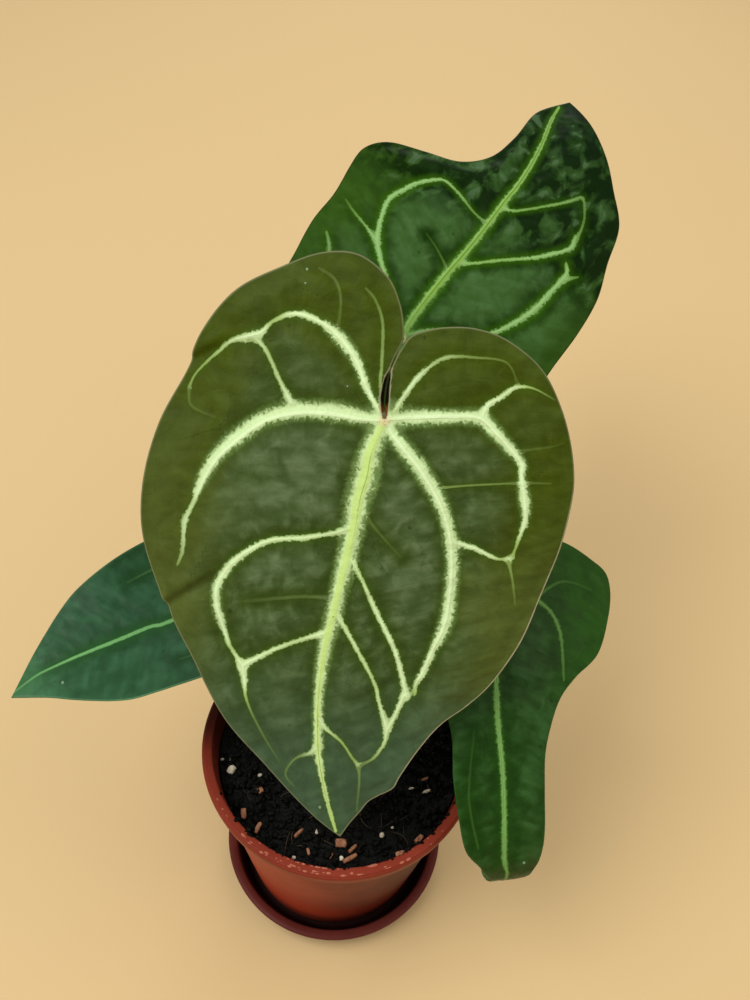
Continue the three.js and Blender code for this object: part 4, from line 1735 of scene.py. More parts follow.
@dataclass(frozen=True)
class Saucer:
    """The shallow dish under the pot, its wall leaning out to a rolled lip."""

    radius: float = 53.2
    base_radius: float = 46.0
    height: float = 13.7
    floor: float = 2.5
    wall: float = 1.8
    lip_width: float = 4.5
    lip_height: float = 3.0
    sides: int = 160
    # Its near-black inside colour is grime and painted shade
    finish: PlasticFinish = PlasticFinish("#52201b", "#632c26", "#6a3c34", 0.38, "#040202")

    def profile(self) -> np.ndarray:
        """Draws the dish's section.

        Returns:
            Its points, from the axis underneath round to the axis inside.
        """
        lip_bottom = self.height - self.lip_height
        inner = self.radius - self.lip_width
        corners = [
            (0, 0.6, 0),
            (self.base_radius - 8, 0.6, 0.3),
            (self.base_radius - 7, 0, 0.3),
            (self.base_radius - 0.4, 0, 0.9),
            (inner + self.wall, lip_bottom, 0.7),
            (self.radius - 0.6, lip_bottom + 0.2, 0.8),
            (self.radius, self.height - 0.4, 1.1),
            (self.radius - 2.2, self.height, 0.7),
            (inner, self.height - 0.3, 1.1),
            (self.base_radius - self.wall, self.floor, 1.6),
            (30, self.floor, 0.3),
            (29, self.floor - 0.3, 0.3),
            (0, self.floor - 0.3, 0),
        ]
        return rounded(corners)

    def build(self) -> None:
        """Builds the saucer, dresses it and ties it to the frame."""
        profile = self.profile()
        looks = [self.finish.material("saucer_plastic")]
        piece = make_piece("saucer_dish", *turned(profile, self.sides), looks)
        mark_inside(piece, profile, self.sides)
        hand_over(piece, ["saucer"])


@dataclass(frozen=True)
class Bit:
    """A chip that shows on the mix: its place, its length, its turn and how slim it is."""

    x: float
    y: float
    length: float
    turn: float
    slim: float


@dataclass(frozen=True)
class PottingMix:
    """Dark damp mix, partly painted shade, with crumbs, fibres, bark chips and perlite in its top.
    """

    pot: Pot
    top: float = 97.0
    gap: float = 0.3
    crumbs: int = 2300
    fibres: int = 60
    chips: int = 34
    rim_bits: int = 70
    seed: int = 23
    rings: int = 56
    sides: int = 150
    # Near black: the mix's own dark colour and painted shade from the leaves above
    mix: GrainFinish = GrainFinish("#020302", "#0c0c07", 1.3, 0.6, 0.3, shine=0.12)
    bark: GrainFinish = GrainFinish("#7d4a30", "#c08a66", 1.0, 0.6, 0.15)
    stone: GrainFinish = GrainFinish("#c4b69c", "#f0e6d2", 0.9, 0.7, 0.2)
    straw: GrainFinish = GrainFinish("#1d150c", "#4a3820", 1.0, 0.65, 0.1)
    pale_bits: tuple[Bit, ...] = tuple(Bit(*row) for row in (
        (-46, -13.3, 4.2, 60, 0.8), (-51, -8.2, 1.8, 10, 0.6), (-48, -8.1, 1.6, 80, 0.7),
        (-33.5, -14.2, 2, 30, 0.7), (-6.2, -36.9, 2.6, 70, 0.6), (-14.8, -48.5, 2, 0, 0.7),
        (4.5, -47.6, 2.6, 45, 0.8), (20.7, -35.9, 2.6, 100, 0.8), (25.2, -32.4, 1.9, 20, 0.6),
        (38.7, -14.9, 4, 28, 0.35), (32, -14, 2.4, 15, 0.4),
    ))
    tan_bits: tuple[Bit, ...] = tuple(Bit(*row) for row in (
        (-32.4, -21.4, 2.8, 40, 0.9), (-37.8, -32.2, 4.4, 100, 0.5),
        (-30.9, -38.1, 5, 70, 0.35), (-13.8, -38.2, 5.2, 55, 0.22), (3.9, -41.1, 4.6, 5, 0.75),
        (9.1, -42.9, 4.4, 50, 0.3), (0.2, -46.5, 2.8, 60, 0.5), (8.3, -47.2, 6.4, 35, 0.28),
        (37.7, -9, 4.4, 35, 0.28), (36.3, -36.1, 4.2, 50, 0.5), (28.9, -43.1, 4, 20, 0.6),
        (-9, -45.5, 3, 110, 0.4),
    ))

    def level(self, x: np.ndarray, y: np.ndarray) -> np.ndarray:
        """Measures the mix's lumpy surface.

        Args:
            x: Places across the front.
            y: Places from front to back.

        Returns:
            The surface's heights there.
        """
        flat = np.column_stack([x, y, np.zeros(len(x))])
        broad = 1.1 * rough_at(flat, 17.0, 2.0)
        lumps = 0.7 * rough_at(flat, 5.0, 6.0) + 0.35 * rough_at(flat, 2.2, 9.0)
        dome = 1.3 * np.exp(-((np.hypot(x, y) / 22) ** 2))
        return self.top + broad + lumps + dome

    def height(self, x: float, y: float) -> float:
        """The height of the surface at one place."""
        return self.level(np.array([x]), np.array([y]))[0]

    def ground(self) -> None:
        """Builds the body of the mix, its top lumpy."""
        bottom = self.pot.bottom + self.pot.foot + self.pot.floor + self.gap
        edge = self.pot.outer_radius(self.top) - self.pot.wall - self.gap
        low_edge = self.pot.outer_radius(bottom) - self.pot.wall - self.gap - 1
        radii = edge * np.linspace(1, 0, self.rings, endpoint=False) ** 0.8
        rows = [(0, bottom), (low_edge, bottom), *((r, self.top) for r in radii), (0, self.top)]
        points, faces = turned(np.array(rows), self.sides)
        upper = points[:, 2] > self.top - 1
        points[upper, 2] = self.level(*points[upper, :2].T)
        piece = make_piece("potting_mix", points, faces, [self.mix.material("damp_shaded_mix")])
        hand_over(piece, ["soil"])

    def scatter(self) -> None:
        """Builds the loose crumbs and lumps on top of the mix."""
        random = np.random.default_rng(self.seed)
        small, big = pebble(0), pebble(1)
        edge = self.pot.outer_radius(self.top) - self.pot.wall - 1.4
        heap = Heap()
        for _ in range(self.crumbs):
            size = 0.45 + 1.35 * random.random() ** 2.5
            radius = (edge - 0.6 * size) * math.sqrt(random.random())
            turn = 2 * math.pi * random.random()
            ball, faces = big if size > 1.1 else small
            shape = knobbly(ball, size, 1.25, 0.3, random)
            spin = Matrix.Rotation(random.uniform(0, 6.3), 3, Vector(random.standard_normal(3)))
            x, y, _ = about(radius, turn, 0)
            heap.put(shape @ np.array(spin) + [x, y, self.height(x, y) + 0.25 * size], faces)
        hand_over(heap.piece("mix_crumbs", self.mix.material("damp_shaded_crumbs")))

    def threads(self) -> None:
        """Builds the fibres that lie about in the mix."""
        random = np.random.default_rng(self.seed + 1)
        heap = Heap()
        for _ in range(self.fibres):
            turn, way = random.uniform(0, 2 * math.pi, 2)
            radius = 47 * math.sqrt(random.random())
            length, bend = random.uniform(4, 12), random.uniform(-0.9, 0.9)
            steps = np.linspace(-0.5, 0.5, 8)
            x = radius * math.cos(turn) + length * steps * np.cos(way + bend * steps)
            y = radius * math.sin(turn) + length * steps * np.sin(way + bend * steps)
            keep = np.hypot(x, y) < 51
            if keep.sum() < 4:
                continue
            x, y = x[keep], y[keep]
            z = self.level(x, y) + 0.5 + 0.5 * np.cos(steps[keep] * 5)
            thick = random.uniform(0.12, 0.3)
            points, faces = tube(np.column_stack([x, y, z]), np.full(len(x), thick), 5)
            heap.put(points, faces)
        hand_over(heap.piece("mix_fibres", self.straw.material("coir")))

    def _chip(
        self, bit: Bit, random: np.random.Generator, boxy: float
    ) -> tuple[np.ndarray, np.ndarray]:
        """Shapes one chip.

        Args:
            bit: Its place and measure.
            random: Where its roughness comes from.
            boxy: 1 for a splinter with flat sides, 0 for a round grain.

        Returns:
            Points and faces.
        """
        ball, faces = pebble(2)
        squared = ball / np.abs(ball).max(axis=1)[:, None]
        shape = ball + boxy * 0.75 * (squared - ball)
        shape = shape * (1 + 0.16 * rough_at(shape * 2.0, 1.0, random.uniform(0, 90)))[:, None]
        half = 0.5 * bit.length
        shape = shape * [half, half * bit.slim, half * (0.35 + 0.4 * bit.slim)]
        pitched = Matrix.Rotation(random.uniform(-0.35, 0.35), 3, "Y")
        tilt = pitched @ Matrix.Rotation(random.uniform(-0.3, 0.3), 3, "X")
        spin = Matrix.Rotation(math.radians(bit.turn), 3, "Z") @ tilt
        z = self.height(bit.x, bit.y) + 0.35 * half * (0.5 + bit.slim)
        return shape @ np.array(spin.transposed()) + [bit.x, bit.y, z], faces

    def bits(self) -> None:
        """Builds the bark chips and the grains of perlite."""
        random = np.random.default_rng(self.seed + 2)
        bark, stone = Heap(), Heap()
        extra_tan, extra_pale = [], []
        for k in range(self.chips):
            turn = random.uniform(0.05, 0.95) * math.pi
            radius = random.uniform(18, 48)
            measures = [random.uniform(*ends) for ends in ((2, 5.5), (0, 180), (0.3, 0.8))]
            drawn = Bit(*about(radius, turn, 0)[:2], *measures)
            (extra_pale if k % 3 == 0 else extra_tan).append(drawn)
        for bit in (*self.tan_bits, *extra_tan):
            bark.put(*self._chip(bit, random, 1.0))
        for bit in (*self.pale_bits, *extra_pale):
            stone.put(*self._chip(bit, random, 0.2))
        hand_over(bark.piece("bark_chips", self.bark.material("bark")))
        hand_over(stone.piece("perlite", self.stone.material("perlite")))

    def rim_crumbs(self) -> None:
        """Builds the crumbs that cling to the inner edge of the pot's rim."""
        random = np.random.default_rng(self.seed + 3)
        ball, faces = pebble(1)
        heap = Heap()
        inner = self.pot.rim_radius - self.pot.rim_width
        for _ in range(self.rim_bits):
            turn = math.radians(random.choice([-132, -62, -48, -95]) + random.normal(0, 14))
            size = random.uniform(0.25, 0.9)
            radius = inner + random.uniform(-0.9, 0.7)
            shape = knobbly(ball, size, 1.2, 0.25, random)
            heap.put(shape + about(radius, turn, self.pot.top - 0.3 + 0.2 * size), faces)
        hand_over(heap.piece("rim_crumbs", self.mix.material("rim_soil")))

    def build(self) -> None:
        """Builds all of the mix and ties it to the frame."""
        self.ground()
        self.scatter()
        self.threads()
        self.bits()
        self.rim_crumbs()


# The four leaves

# Its paler panel patches, bluish tip, vein crests, groove line and pale margin are partly painted
# sheen, highlight and shade
VELVET = LeafFinish(
    beside="#374917", panel="#42562a", painted_sheen="#62724f", rim="#3f4c00", rim_low="#4f5a22",
    tip="#41583f", vein="#d0eaae", feather="#98b672", halo="#3c5e06", crest="#e4f8c8",
    thread="#8aa742", midrib="#c3e07e", groove_shade="#82a23c", margin="#bdb697", comb=(0.34, 0.12),
    mottle=0.36, painted_sheen_share=0.7, shine=0.07,
)
# Its near-black tip and pale wet patches are partly painted reflection
DEEP_GREEN = LeafFinish(
    beside="#163008", panel="#3a5c28", painted_sheen="#4e6a48", rim="#2e4d10", tip="#123004",
    vein="#8ab46c", feather="#4f7c34", halo="#3c6a08", crest="#9ac47c", thread="#6f9a3e",
    midrib="#86b04c", groove_shade="#48761c", margin="#2c3618", spray=1.2, halo_width=3.6,
    halo_share=0.5, midrib_share=0.6, gloss=0.4, shine=0.02, wet_and_glints=1, relief=0.6, mottle=0.34,
    painted_sheen_share=0.3, tip_from=100, tip_to=150,
)
BLUE_GREEN = LeafFinish(
    beside="#173f1a", panel="#214a2a", painted_sheen="#33603f", rim="#1f4420", tip="#3c6c44",
    vein="#74ad66", feather="#4c8a4c", halo="#1f5c1a", crest="#7cb46c", thread="#5f9c58",
    midrib="#80ba70", groove_shade="#5f9c52", margin="#4c7a50", spray=0.5, halo_width=5, gloss=0.42,
    shine=0.2, relief=0.3, mottle=0.2, rim_from=26, rim_to=44, tip_from=88, tip_to=108,
)
GRASS_GREEN = LeafFinish(
    beside="#163a04", panel="#20440e", painted_sheen="#365a2e", rim="#24500a", tip="#1e4214",
    vein="#6c9c4c", feather="#3f6c24", halo="#24500a", crest="#7cac5c", thread="#628f40",
    midrib="#80b060", groove_shade="#7cac5c", margin="#3a6430", halo_width=3, halo_share=0.3,
    gloss=0.4, shine=0.12, relief=0.7, mottle=0.45, rim_from=16, rim_to=40,
)

FRONT = Leaf(
    name="leaf_front",
    hold=Hold(
        junction=(6, 49, 255), heading=-113, dip=46, roll=-16, length=164, sway=28, droop=8,
        lobe_droop=6, arch=564, waves=(Wave(1, 2, 75, 40), Wave(-1, 2, 62, 200)),
    ),
    finish=VELVET,
    left=(
        (164.7, 2.3), (159, 7), (154.6, 11.2), (150.5, 14.7), (148.2, 18.7), (145.3, 24.6),
        (140, 27.7), (127, 36), (117, 43.5), (108, 53), (96, 61.5), (75, 70), (54, 74), (32, 76),
        (13, 75), (-5, 72), (-21, 65), (-34, 55), (-43, 43), (-46, 28), (-44, 16), (-39, 6),
        (-33.4, -1.1), (-29.9, -3.7),
    ),
    right=(
        (164.7, 2.3), (157.4, -4.6), (149, -11.4), (133, -24), (117, -38), (96, -51), (80, -63),
        (62, -74), (45, -78), (25, -78), (8, -74), (-5, -73), (-20, -67), (-32, -56), (-42, -45),
        (-47, -33), (-45, -20), (-39, -11.8), (-33, -7.2), (-29, -5.1),
    ),
    slit=((0.05, 0.2), (0.12, 0.16), (0.5, 0.14), (0.8, 0.2), (1, 0.5)),
    bow=2.4,
    pocket=((0.03, 0.9), (0.1, 1.6), (0.25, 2.1), (0.42, 1.6), (0.66, 0.7)),
    veins=(
        Vein(MAIN, (
            (0, 0, 2.2), (12, -1, 4.2), (21, 0, 4.9), (30, 0, 4.6), (40, 1, 4), (50, 1, 3.6),
            (71, 0, 3), (90, -2, 2.6), (109, -3, 1.9), (128, -3, 1.7), (140, -2, 1.2),
            (149, -0.9, 1), (162, 1, 0.6),
        ), lean=0.12),
        Vein(SIDE, (
            (0, 0, 1.4), (2, -9, 2.9), (3, -16, 3.5), (6, -27, 3.1), (12, -39, 3.1),
            (20, -47, 3.1), (30, -54, 2.7), (39, -57, 2.1), (45, -58, 1), (52, -60, 1.3),
            (61, -59, 1), (66, -60, 0.5),
        ), (1, 1, 1, 1, 0.9, 0.5), lean=0.3),
        Vein(FINE, (
            (6, -33, 1.8), (1, -39, 1), (-6, -47, 0.8), (-9, -53, 1), (-8, -56, 0.7),
        ), (0.8,)),
        Vein(SIDE, (
            (0, 0, 0.9), (-8, -10, 1.6), (-15, -17, 2), (-20, -26, 2.3), (-22, -35, 1.3),
            (-21, -44, 1.3), (-16, -50, 0.6), (-11, -53, 1.5), (-6, -61, 1), (-1, -65, 0.7),
            (7, -70, 0.35), (12, -71, 0.4),
        ), (1, 1, 1, 0.9, 0.6)),
        Vein(FINE, (
            (0, 0, 0.8), (-11, -6, 0.6), (-18, -8.6, 0.6), (-30, -14, 0.55), (-36, -20, 0.45),
            (-38, -25, 0.3),
        ), (0.7, 0.6, 0.5, 0.2)),
        Vein(FINE, (
            (-23, -28, 0.5), (-31, -31, 0.5), (-36, -36, 0.5), (-37, -43, 0.4),
        ), (0.12, 0.2, 0.1)),
        Vein(FINE, ((12, -71, 0.4), (17, -68, 0.4), (18, -58, 0.3)), (0.2, 0.05)),
        Vein(SIDE, (
            (0, 0, 0.9), (-2, 4, 2.4), (-5, 10, 3.4), (-10, 21, 2.9), (-14, 31, 3), (-11, 39, 2.9),
            (-4, 51, 2.1), (1, 53, 1.6), (10, 57, 2.4), (19, 60, 1.6), (28, 60, 0.8),
            (33, 60, 0.4), (37, 60, 0.6),
        )),
        Vein(FINE, (
            (-15, 32, 1.9), (-20, 32, 1.5), (-25, 35, 1.1), (-31, 38, 1), (-34, 44, 0.4),
            (-34, 53, 0.3),
        ), (1, 1, 1, 0.1)),
        Vein(FINE, (
            (-2, 2, 0.8), (-9, 3, 1.2), (-18, 5, 1.2), (-25, 8, 0.8), (-30, 12, 0.8),
            (-34, 20, 0.45), (-38, 31, 0.35), (-33, 38, 0.3),
        ), (0.85, 0.85, 0.45, 0.1)),
        Vein(SIDE, ((37, 36, 1.6), (37, 45, 1.4), (39, 53, 1), (39, 56, 0.6), (38, 59, 1.1))),
        Vein(FINE, ((39, 59, 0.6), (47, 62, 0.4), (58, 65, 0.35)), (0.6, 0.1)),
        Vein(FINE, ((17, 27, 0.4), (12, 37, 0.35), (3, 57, 0.35), (0, 64, 0.3)), (0.55, 0.4, 0.1)),
        Vein(FINE, ((-8, 49, 0.5), (-15, 59, 0.4), (-19, 63, 0.3)), (0.15, 0.05)),
        Vein(SIDE, (
            (0, 0, 1.2), (4, 5, 2.5), (9, 13, 3.3), (14, 20, 3.3), (23, 29, 2.8), (33, 35, 2.5),
            (45, 39, 2.6), (59, 41, 2.6), (72, 41, 2.8), (83, 38, 1.8), (94, 35, 1.6), (99, 33, 1),
            (103, 33, 0.5),
        ), lean=-0.1),
        Vein(SIDE, (
            (50, 1, 1.1), (59, 8, 0.85), (73, 17, 1.2), (85, 24, 1.2), (97, 28, 1.4),
            (105, 30, 1.4),
        )),
        Vein(SIDE, (
            (104, 29, 1.4), (113, 26, 1.2), (120, 23, 1.2), (125, 22, 0.9), (131, 18, 0.7),
            (134, 13, 0.4),
        ), (1, 1, 0.9, 0.3)),
        Vein(SIDE, ((72, 0, 0.9), (83, 8, 1), (98, 17, 0.8), (108, 20, 1), (119, 23, 1.3))),
        Vein(FINE, (
            (114, -3, 1.4), (119, 0, 1), (124, 6, 0.5), (131, 10, 0.5), (134, 12, 0.9),
        ), (0.95, 0.75)),
        Vein(FINE, ((134, 12, 0.45), (141, 12, 0.4), (154, 10, 0.35)), (0.4, 0.1)),
        Vein(SIDE, (
            (41, 0, 1.6), (44, -5, 1.1), (48, -15, 1.1), (52, -28, 1.2), (60, -38, 1.6),
            (69, -44, 2), (76, -44, 2.1), (83, -41, 1.7), (89, -38, 1), (92, -36, 0.8),
            (97, -32, 1.5),
        ), (1, 1, 1, 1, 0.8, 1)),
        Vein(SIDE, ((81, -1, 1.6), (85, -11, 0.95), (90, -21, 1.1), (97, -32, 1.5))),
        Vein(FINE, (
            (97, -32, 1.5), (102, -31, 1.4), (108, -30, 0.5), (117, -26, 0.4), (132, -18, 0.3),
        ), (1, 0.9, 0.3, 0.2, 0.05)),
        Vein(FINE, (
            (126, -3, 1.4), (129, -6, 1.1), (131, -12, 0.4), (137, -16, 0.4), (142, -13, 0.3),
        ), (1, 0.4, 0.25, 0.1)),
        Vein(FINE, ((33, 2, 0.6), (36, 5, 0.5), (47, 20, 0.4)), (0.2, 0.05)),
        Vein(FINE, ((68, -3, 0.8), (69, -13, 0.7), (74, -33, 0.6)), (0.15, 0.12, 0.05)),
    ),
    folds=(Fold((66, -44), (80, -63), 1.7, 1.7), Fold((-4, -64), (2.5, -72), 1.2, 1.3)),
)

BACK = Leaf(
    name="leaf_back",
    hold=Hold(
        junction=(10, 138, 220), heading=42, dip=-28, roll=25, length=162, sway=27, droop=31,
        lobe_droop=6, arch=557, waves=(Wave(1, 1.8, 60, 0), Wave(-1, 1.8, 70, 90)),
    ),
    finish=DEEP_GREEN,
    left=(
        (162, 0), (145, 13), (121, 17), (103, 22), (91, 33), (86, 49), (80, 65), (68, 73),
        (53, 73), (31, 69), (12, 67), (-5, 63), (-23, 57), (-38, 45), (-43, 30), (-42, 17),
        (-35, 6), (-26, 1),
    ),
    right=(
        (162, 0), (151, -13), (134, -26), (118, -36), (103, -46), (84, -50), (68, -55), (52, -57),
        (34, -58), (16, -61), (-2, -62), (-21, -57), (-36, -46), (-43, -30), (-41, -15), (-34, -5),
        (-26, -1),
    ),
    slit=((0.06, 0.4), (0.5, 0.8), (1, 1)),
    # The veins start dim at the junction: painted shade where the back leaf lies under the front
    # leaf
    veins=(
        Vein(MAIN, (
            (0, 0, 2.2), (13, 3, 2.7), (34, 5, 2.5), (57, 5, 2.1), (81, 5, 2), (97, 4, 1.6),
            (120, 4, 1.4), (142, 5, 1.1), (155, 4, 0.6),
        ), (0.4, 1, 1, 1, 1, 1, 0.9)),
        Vein(SIDE, (
            (0, 0, 1.3), (9, 12, 1.4), (18, 28, 1.5), (26, 38, 2), (36, 44, 1.5), (49, 48, 1.6),
            (60, 45, 1.7), (67, 42, 1.5), (75, 35, 1.2), (75, 29, 1), (72, 21, 0.9), (69, 14, 0.6),
            (68, 6, 1.2),
        ), (0.1, 0.9, 1, 1, 1, 0.8, 0.5)),
        Vein(FINE, ((27, 40, 1.8), (29, 47, 1.1), (31, 56, 0.8), (34, 63, 0.6)), (0.9, 0.6, 0.2)),
        Vein(FINE, ((12, 58, 0.8), (8, 53, 1.4), (4, 50, 1.8)), (0.5, 0.4)),
        Vein(SIDE, (
            (80, 4, 1.4), (82, -2, 0.8), (94, -14, 0.8), (102, -21, 1), (106, -24, 1),
            (103, -27, 0.8), (94, -31, 0.7), (84, -32, 0.9),
        ), (0.9, 0.8, 0.8, 0.5, 0.4, 0.7)),
        Vein(SIDE, (
            (44, 4, 1.3), (48, -1, 0.9), (58, -11, 0.9), (67, -21, 1.2), (76, -29, 1.4),
            (81, -32, 1.6), (87, -31, 0.9),
        ), (1, 1, 1, 0.8)),
        Vein(SIDE, (
            (0, 0, 1.2), (3, -1, 1.6), (11, -7, 2), (20, -19, 1.4), (28, -27, 1.3), (38, -32, 1.8),
            (48, -35, 2.2), (58, -36, 1.8), (69, -37, 1.4), (73, -34, 0.6),
        ), (0.1, 0.8, 1, 1, 1, 1, 0.9)),
        Vein(FINE, ((66, -37, 1.4), (71, -42, 0.4)), (0.9, 0.5)),
        Vein(FINE, ((37, 5, 0.7), (41, 13, 0.5), (45, 24, 0.4)), (0.4, 0.1)),
        Vein(SIDE, ((0, 0, 1), (-14, 14, 1.5), (-20, 32, 1.3), (-8, 48, 0.6)), (0.1, 0.5, 0.5)),
        Vein(SIDE, ((0, 0, 1), (-14, -14, 1.5), (-20, -32, 1.3), (-8, -48, 0.6)), (0.1, 0.5, 0.5)),
    ),
    seed=11,
)

LEFT = Leaf(
    name="leaf_left",
    hold=Hold(
        junction=(-40, 50, 150), heading=216, dip=-6, roll=0, length=112, sway=0, droop=14,
        lobe_droop=6, arch=-77, waves=(Wave(1, 1.2, 56, 0), Wave(-1, 1.2, 62, 120)),
    ),
    finish=BLUE_GREEN,
    left=(
        (112, 0), (100, 8), (93, 14), (85, 21), (78, 27), (70, 32), (54, 36), (36, 39), (17, 40),
        (0, 39), (-13, 35), (-23, 26), (-28, 16), (-26, 7), (-18, 1),
    ),
    right=(
        (112, 0), (100, -11), (90, -19), (80, -26), (70, -31), (52, -36), (34, -39), (14, -41),
        (-2, -40), (-16, -36), (-26, -28), (-29, -17), (-27, -8), (-18, -1),
    ),
    slit=((0.07, 0.4), (0.5, 0.7), (1, 0.9)),
    veins=(
        Vein(MAIN, (
            (0, 0, 1.4), (43, 0.7, 1.2), (52, -0.8, 1.1), (63, -1.4, 1.1), (74, -2.2, 1),
            (82, -2.8, 0.8), (92, -3.4, 0.6), (100, -3.5, 0.5), (110, -1.5, 0.3),
        ), (0.7, 0.8, 1, 0.9, 0.35)),
        Vein(FINE, ((0, 0, 0.9), (11, 16, 0.9), (29, 24, 0.7), (49, 22, 0.4)), (0.7, 0.1)),
        Vein(FINE, ((0, 0, 0.9), (11, -16, 0.9), (29, -25, 0.7), (52, -24, 0.4)), (0.7, 0.1)),
        Vein(FINE, ((0, 0, 0.8), (-11, 13, 0.9), (-9, 25, 0.7), (2, 31, 0.4)), (0.7, 0.2)),
        Vein(FINE, ((0, 0, 0.8), (-11, -13, 0.9), (-9, -25, 0.7), (2, -31, 0.4)), (0.7, 0.2)),
    ),
    quilt=0.6,
    seed=17,
)

LOW = Leaf(
    name="leaf_low",
    hold=Hold(
        junction=(58, 29, 169), heading=-79, dip=20, roll=-4, length=133, sway=0, droop=46,
        lobe_droop=8, arch=153, curl=140, curl_from=0.66, waves=(Wave(1, 1.5, 62, 0),),
    ),
    finish=GRASS_GREEN,
    left=(
        (133, 0), (127, 4.5), (119, 8.5), (111, 12), (106, 13), (101, 14.5), (93, 15.7), (85, 16),
        (71, 15.8), (56, 16.5), (44, 20), (34, 25), (26, 33), (17, 45), (2, 53.6), (-11, 59.1),
        (-21, 59.1), (-27, 51.6), (-34, 38), (-36, 22), (-31, 8), (-23, 1),
    ),
    right=(
        (133, 0), (127, -4), (120, -4.5), (113, -4), (107, -7), (101, -11), (93, -17), (79, -20),
        (63, -22), (46, -22), (33, -25), (25, -31), (15, -38), (0, -43), (-15, -42), (-26, -33),
        (-31, -20), (-29, -7), (-23, -1),
    ),
    slit=((0.07, 0.4), (0.5, 0.7), (1, 0.9)),
    veins=(
        Vein(MAIN, (
            (0, 0, 1.6), (34, -3, 1.7), (63, -2, 1.6), (96, -1, 1.5), (107, 1.5, 0.8),
            (120, 2, 0.4),
        ), (1, 1, 1, 0.6)),
        Vein(SIDE, (
            (0, 0, 1), (-8, 14, 1.3), (-3, 24, 1.3), (8, 28, 1.2), (27, 27, 0.5),
        ), (0.9, 0.4)),
        Vein(FINE, (
            (0, 0, 0.9), (-6, -12, 1), (2, -23, 0.9), (19, -23, 0.7), (33, -18, 0.4),
        ), (0.8, 0.3)),
        Vein(FINE, ((-7, 18, 0.8), (-15, 33, 0.6), (-12, 48, 0.4)), (0.5, 0.1)),
        Vein(FINE, ((44, -13, 0.4), (70, -16, 0.5), (92, -12, 0.4)), (0.08, 0.2)),
    ),
    quilt=0.9,
    seed=29,
)

DEWS = (
    Dew(FRONT, (
        (151.5, -4, 0.7), (-35.3, -46.6, 0.6), (-30.9, -44.8, 0.45), (-6, -16.4, 0.4),
        (11.8, -70, 0.45),
    )),
    Dew(LOW, ((100.7, 7.3, 0.7),)),
    Dew(LEFT, ((92.5, 5.4, 0.75),)),
)

GREEN_STALK = StalkFinish(green="#6d7f36", brown="#5d4a2a", joint="#7f9a45")
# A darker copy of the stalk finish: painted shade where the stalk lies under the front leaf
SHADED_FRONT_STALK = StalkFinish(green="#46552a", brown="#5d4a2a", joint="#6c3315")
STALKS = (
    Stalk("stalk_front", FRONT, (
        (1, -6, 106), (3, -4, 142), (6, 14, 192), (7, 36, 232),
    ), SHADED_FRONT_STALK),
    Stalk("stalk_back", BACK, ((2, 8, 106), (8, 52, 134), (12, 104, 168)), GREEN_STALK),
    Stalk("stalk_left", LEFT, ((-7, 1, 105), (-18, 15, 123), (-32, 36, 138)), GREEN_STALK),
    Stalk("stalk_low", LOW, ((7.5, -1, 105), (24, 8, 132), (46, 22, 154)), GREEN_STALK),
)


# Studio


@dataclass(frozen=True)
class SoftBox:
    """A large soft lamp."""

    name: str
    place: Place
    aim: Place
    size: float
    power: float
    tint: Place

    def build(self) -> None:
        """Hangs the lamp."""
        light = bpy.data.lights.new(self.name, "AREA")
        light.shape = "DISK"
        light.size = self.size * MM
        light.energy = self.power
        light.color = self.tint
        lamp = bpy.data.objects.new(self.name, light)
        lamp.location = Vector(self.place) * MM
        way = Vector(self.aim) - Vector(self.place)
        lamp.rotation_euler = way.to_track_quat("-Z", "Y").to_euler()
        lamp.visible_camera = False
        bpy.context.scene.collection.objects.link(lamp)


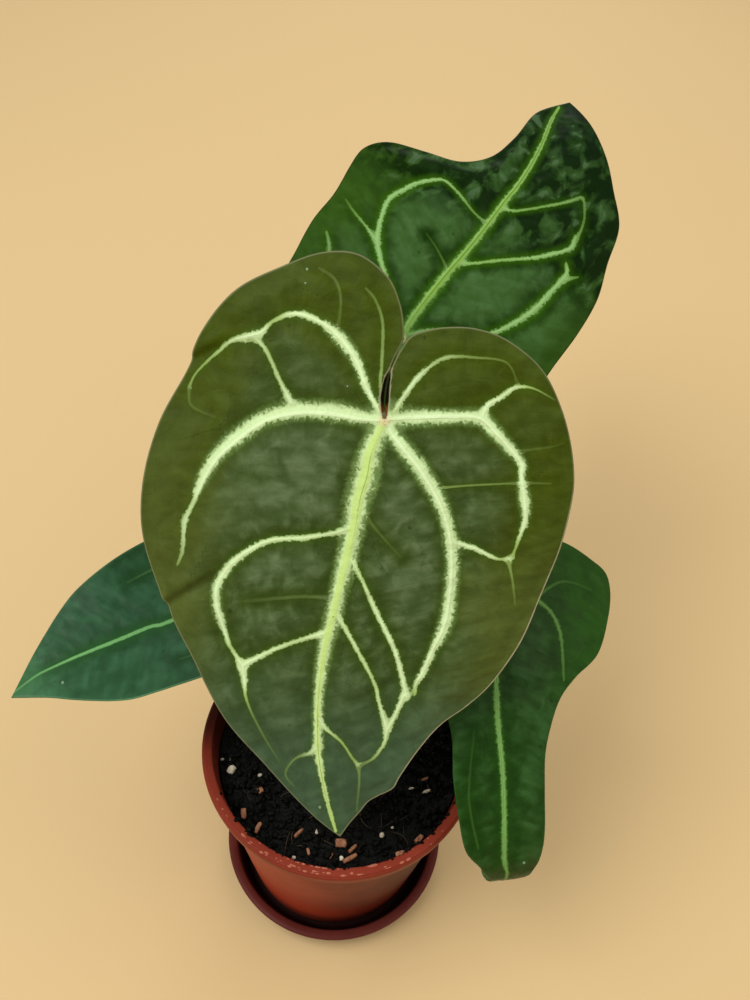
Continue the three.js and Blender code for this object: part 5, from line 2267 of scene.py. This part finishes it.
@dataclass(frozen=True)
class Studio:
    """The plain floor, the soft light and the camera."""

    eye: Place = (5.2, -207.9, 503.1)
    look_down: float = 48.6
    lean: float = 5.2
    lens: float = 36.0
    floor: FloorFinish = FloorFinish("#dec08d")
    floor_radius: float = 9000.0
    sky: Place = (1.0, 0.98, 0.94)
    sky_power: float = 0.48
    lamps: tuple[SoftBox, ...] = (
        SoftBox("key", (-750, -350, 1500), (0, 30, 150), 1100, 16, (1.0, 1.0, 0.98)),
        SoftBox("fill", (900, 0, 1300), (0, 30, 150), 1200, 4.5, (1.0, 0.9, 0.72)),
        SoftBox("rear", (100, 1300, 900), (0, 60, 200), 900, 4, (0.95, 0.98, 1.0)),
    )

    def ground(self) -> None:
        """Lays the floor."""
        sides = 64
        ring = self.floor_radius * np.column_stack([circle(sides), np.zeros(sides)])
        looks = [self.floor.material("floor")]
        make_piece("floor", ring, [tuple(range(sides))], looks)

    def light(self) -> None:
        """Sets the sky and hangs the lamps."""
        world = bpy.data.worlds.new("studio")
        world.use_nodes = True
        sky = world.node_tree.nodes["Background"]
        sky.inputs["Color"].default_value = (*self.sky, 1)
        sky.inputs["Strength"].default_value = self.sky_power
        bpy.context.scene.world = world
        for lamp in self.lamps:
            lamp.build()

    def camera(self) -> None:
        """Sets up the camera at the photograph's place."""
        down, lean = math.radians(self.look_down), math.radians(self.lean)
        right = Vector((1, 0, 0))
        up = Vector((0, math.sin(down), math.cos(down)))
        ahead = Vector((0, math.cos(down), -math.sin(down)))
        x = math.cos(lean) * right + math.sin(lean) * up
        y = -math.sin(lean) * right + math.cos(lean) * up
        data = bpy.data.cameras.new("camera")
        data.lens = self.lens
        data.sensor_width = 36
        data.clip_start, data.clip_end = 0.01, 50
        camera = bpy.data.objects.new("camera", data)
        turn = Matrix((x, y, -ahead)).transposed().to_4x4()
        camera.matrix_world = Matrix.Translation(Vector(self.eye) * MM) @ turn
        bpy.context.scene.collection.objects.link(camera)
        bpy.context.scene.camera = camera

    def build(self) -> None:
        """Builds the whole studio."""
        self.ground()
        self.light()
        self.camera()
        bpy.context.scene.view_settings.view_transform = "Standard"


def save_sizes() -> None:
    """Brings the view layer up to date."""
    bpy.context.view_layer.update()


def main() -> None:
    """Builds the plant, its pot and the studio."""
    logging.basicConfig(level=logging.INFO, format="%(message)s")
    Saucer().build()
    pot = Pot()
    pot.build()
    PottingMix(pot).build()
    Crown().build()
    blades = {leaf.name: leaf.blade() for leaf in (FRONT, BACK, LEFT, LOW)}
    for dew in DEWS:
        dew.build(blades[dew.leaf.name])
    for stalk in STALKS:
        stalk.build()
    Studio().build()
    save_sizes()


if __name__ == "__main__":
    main()
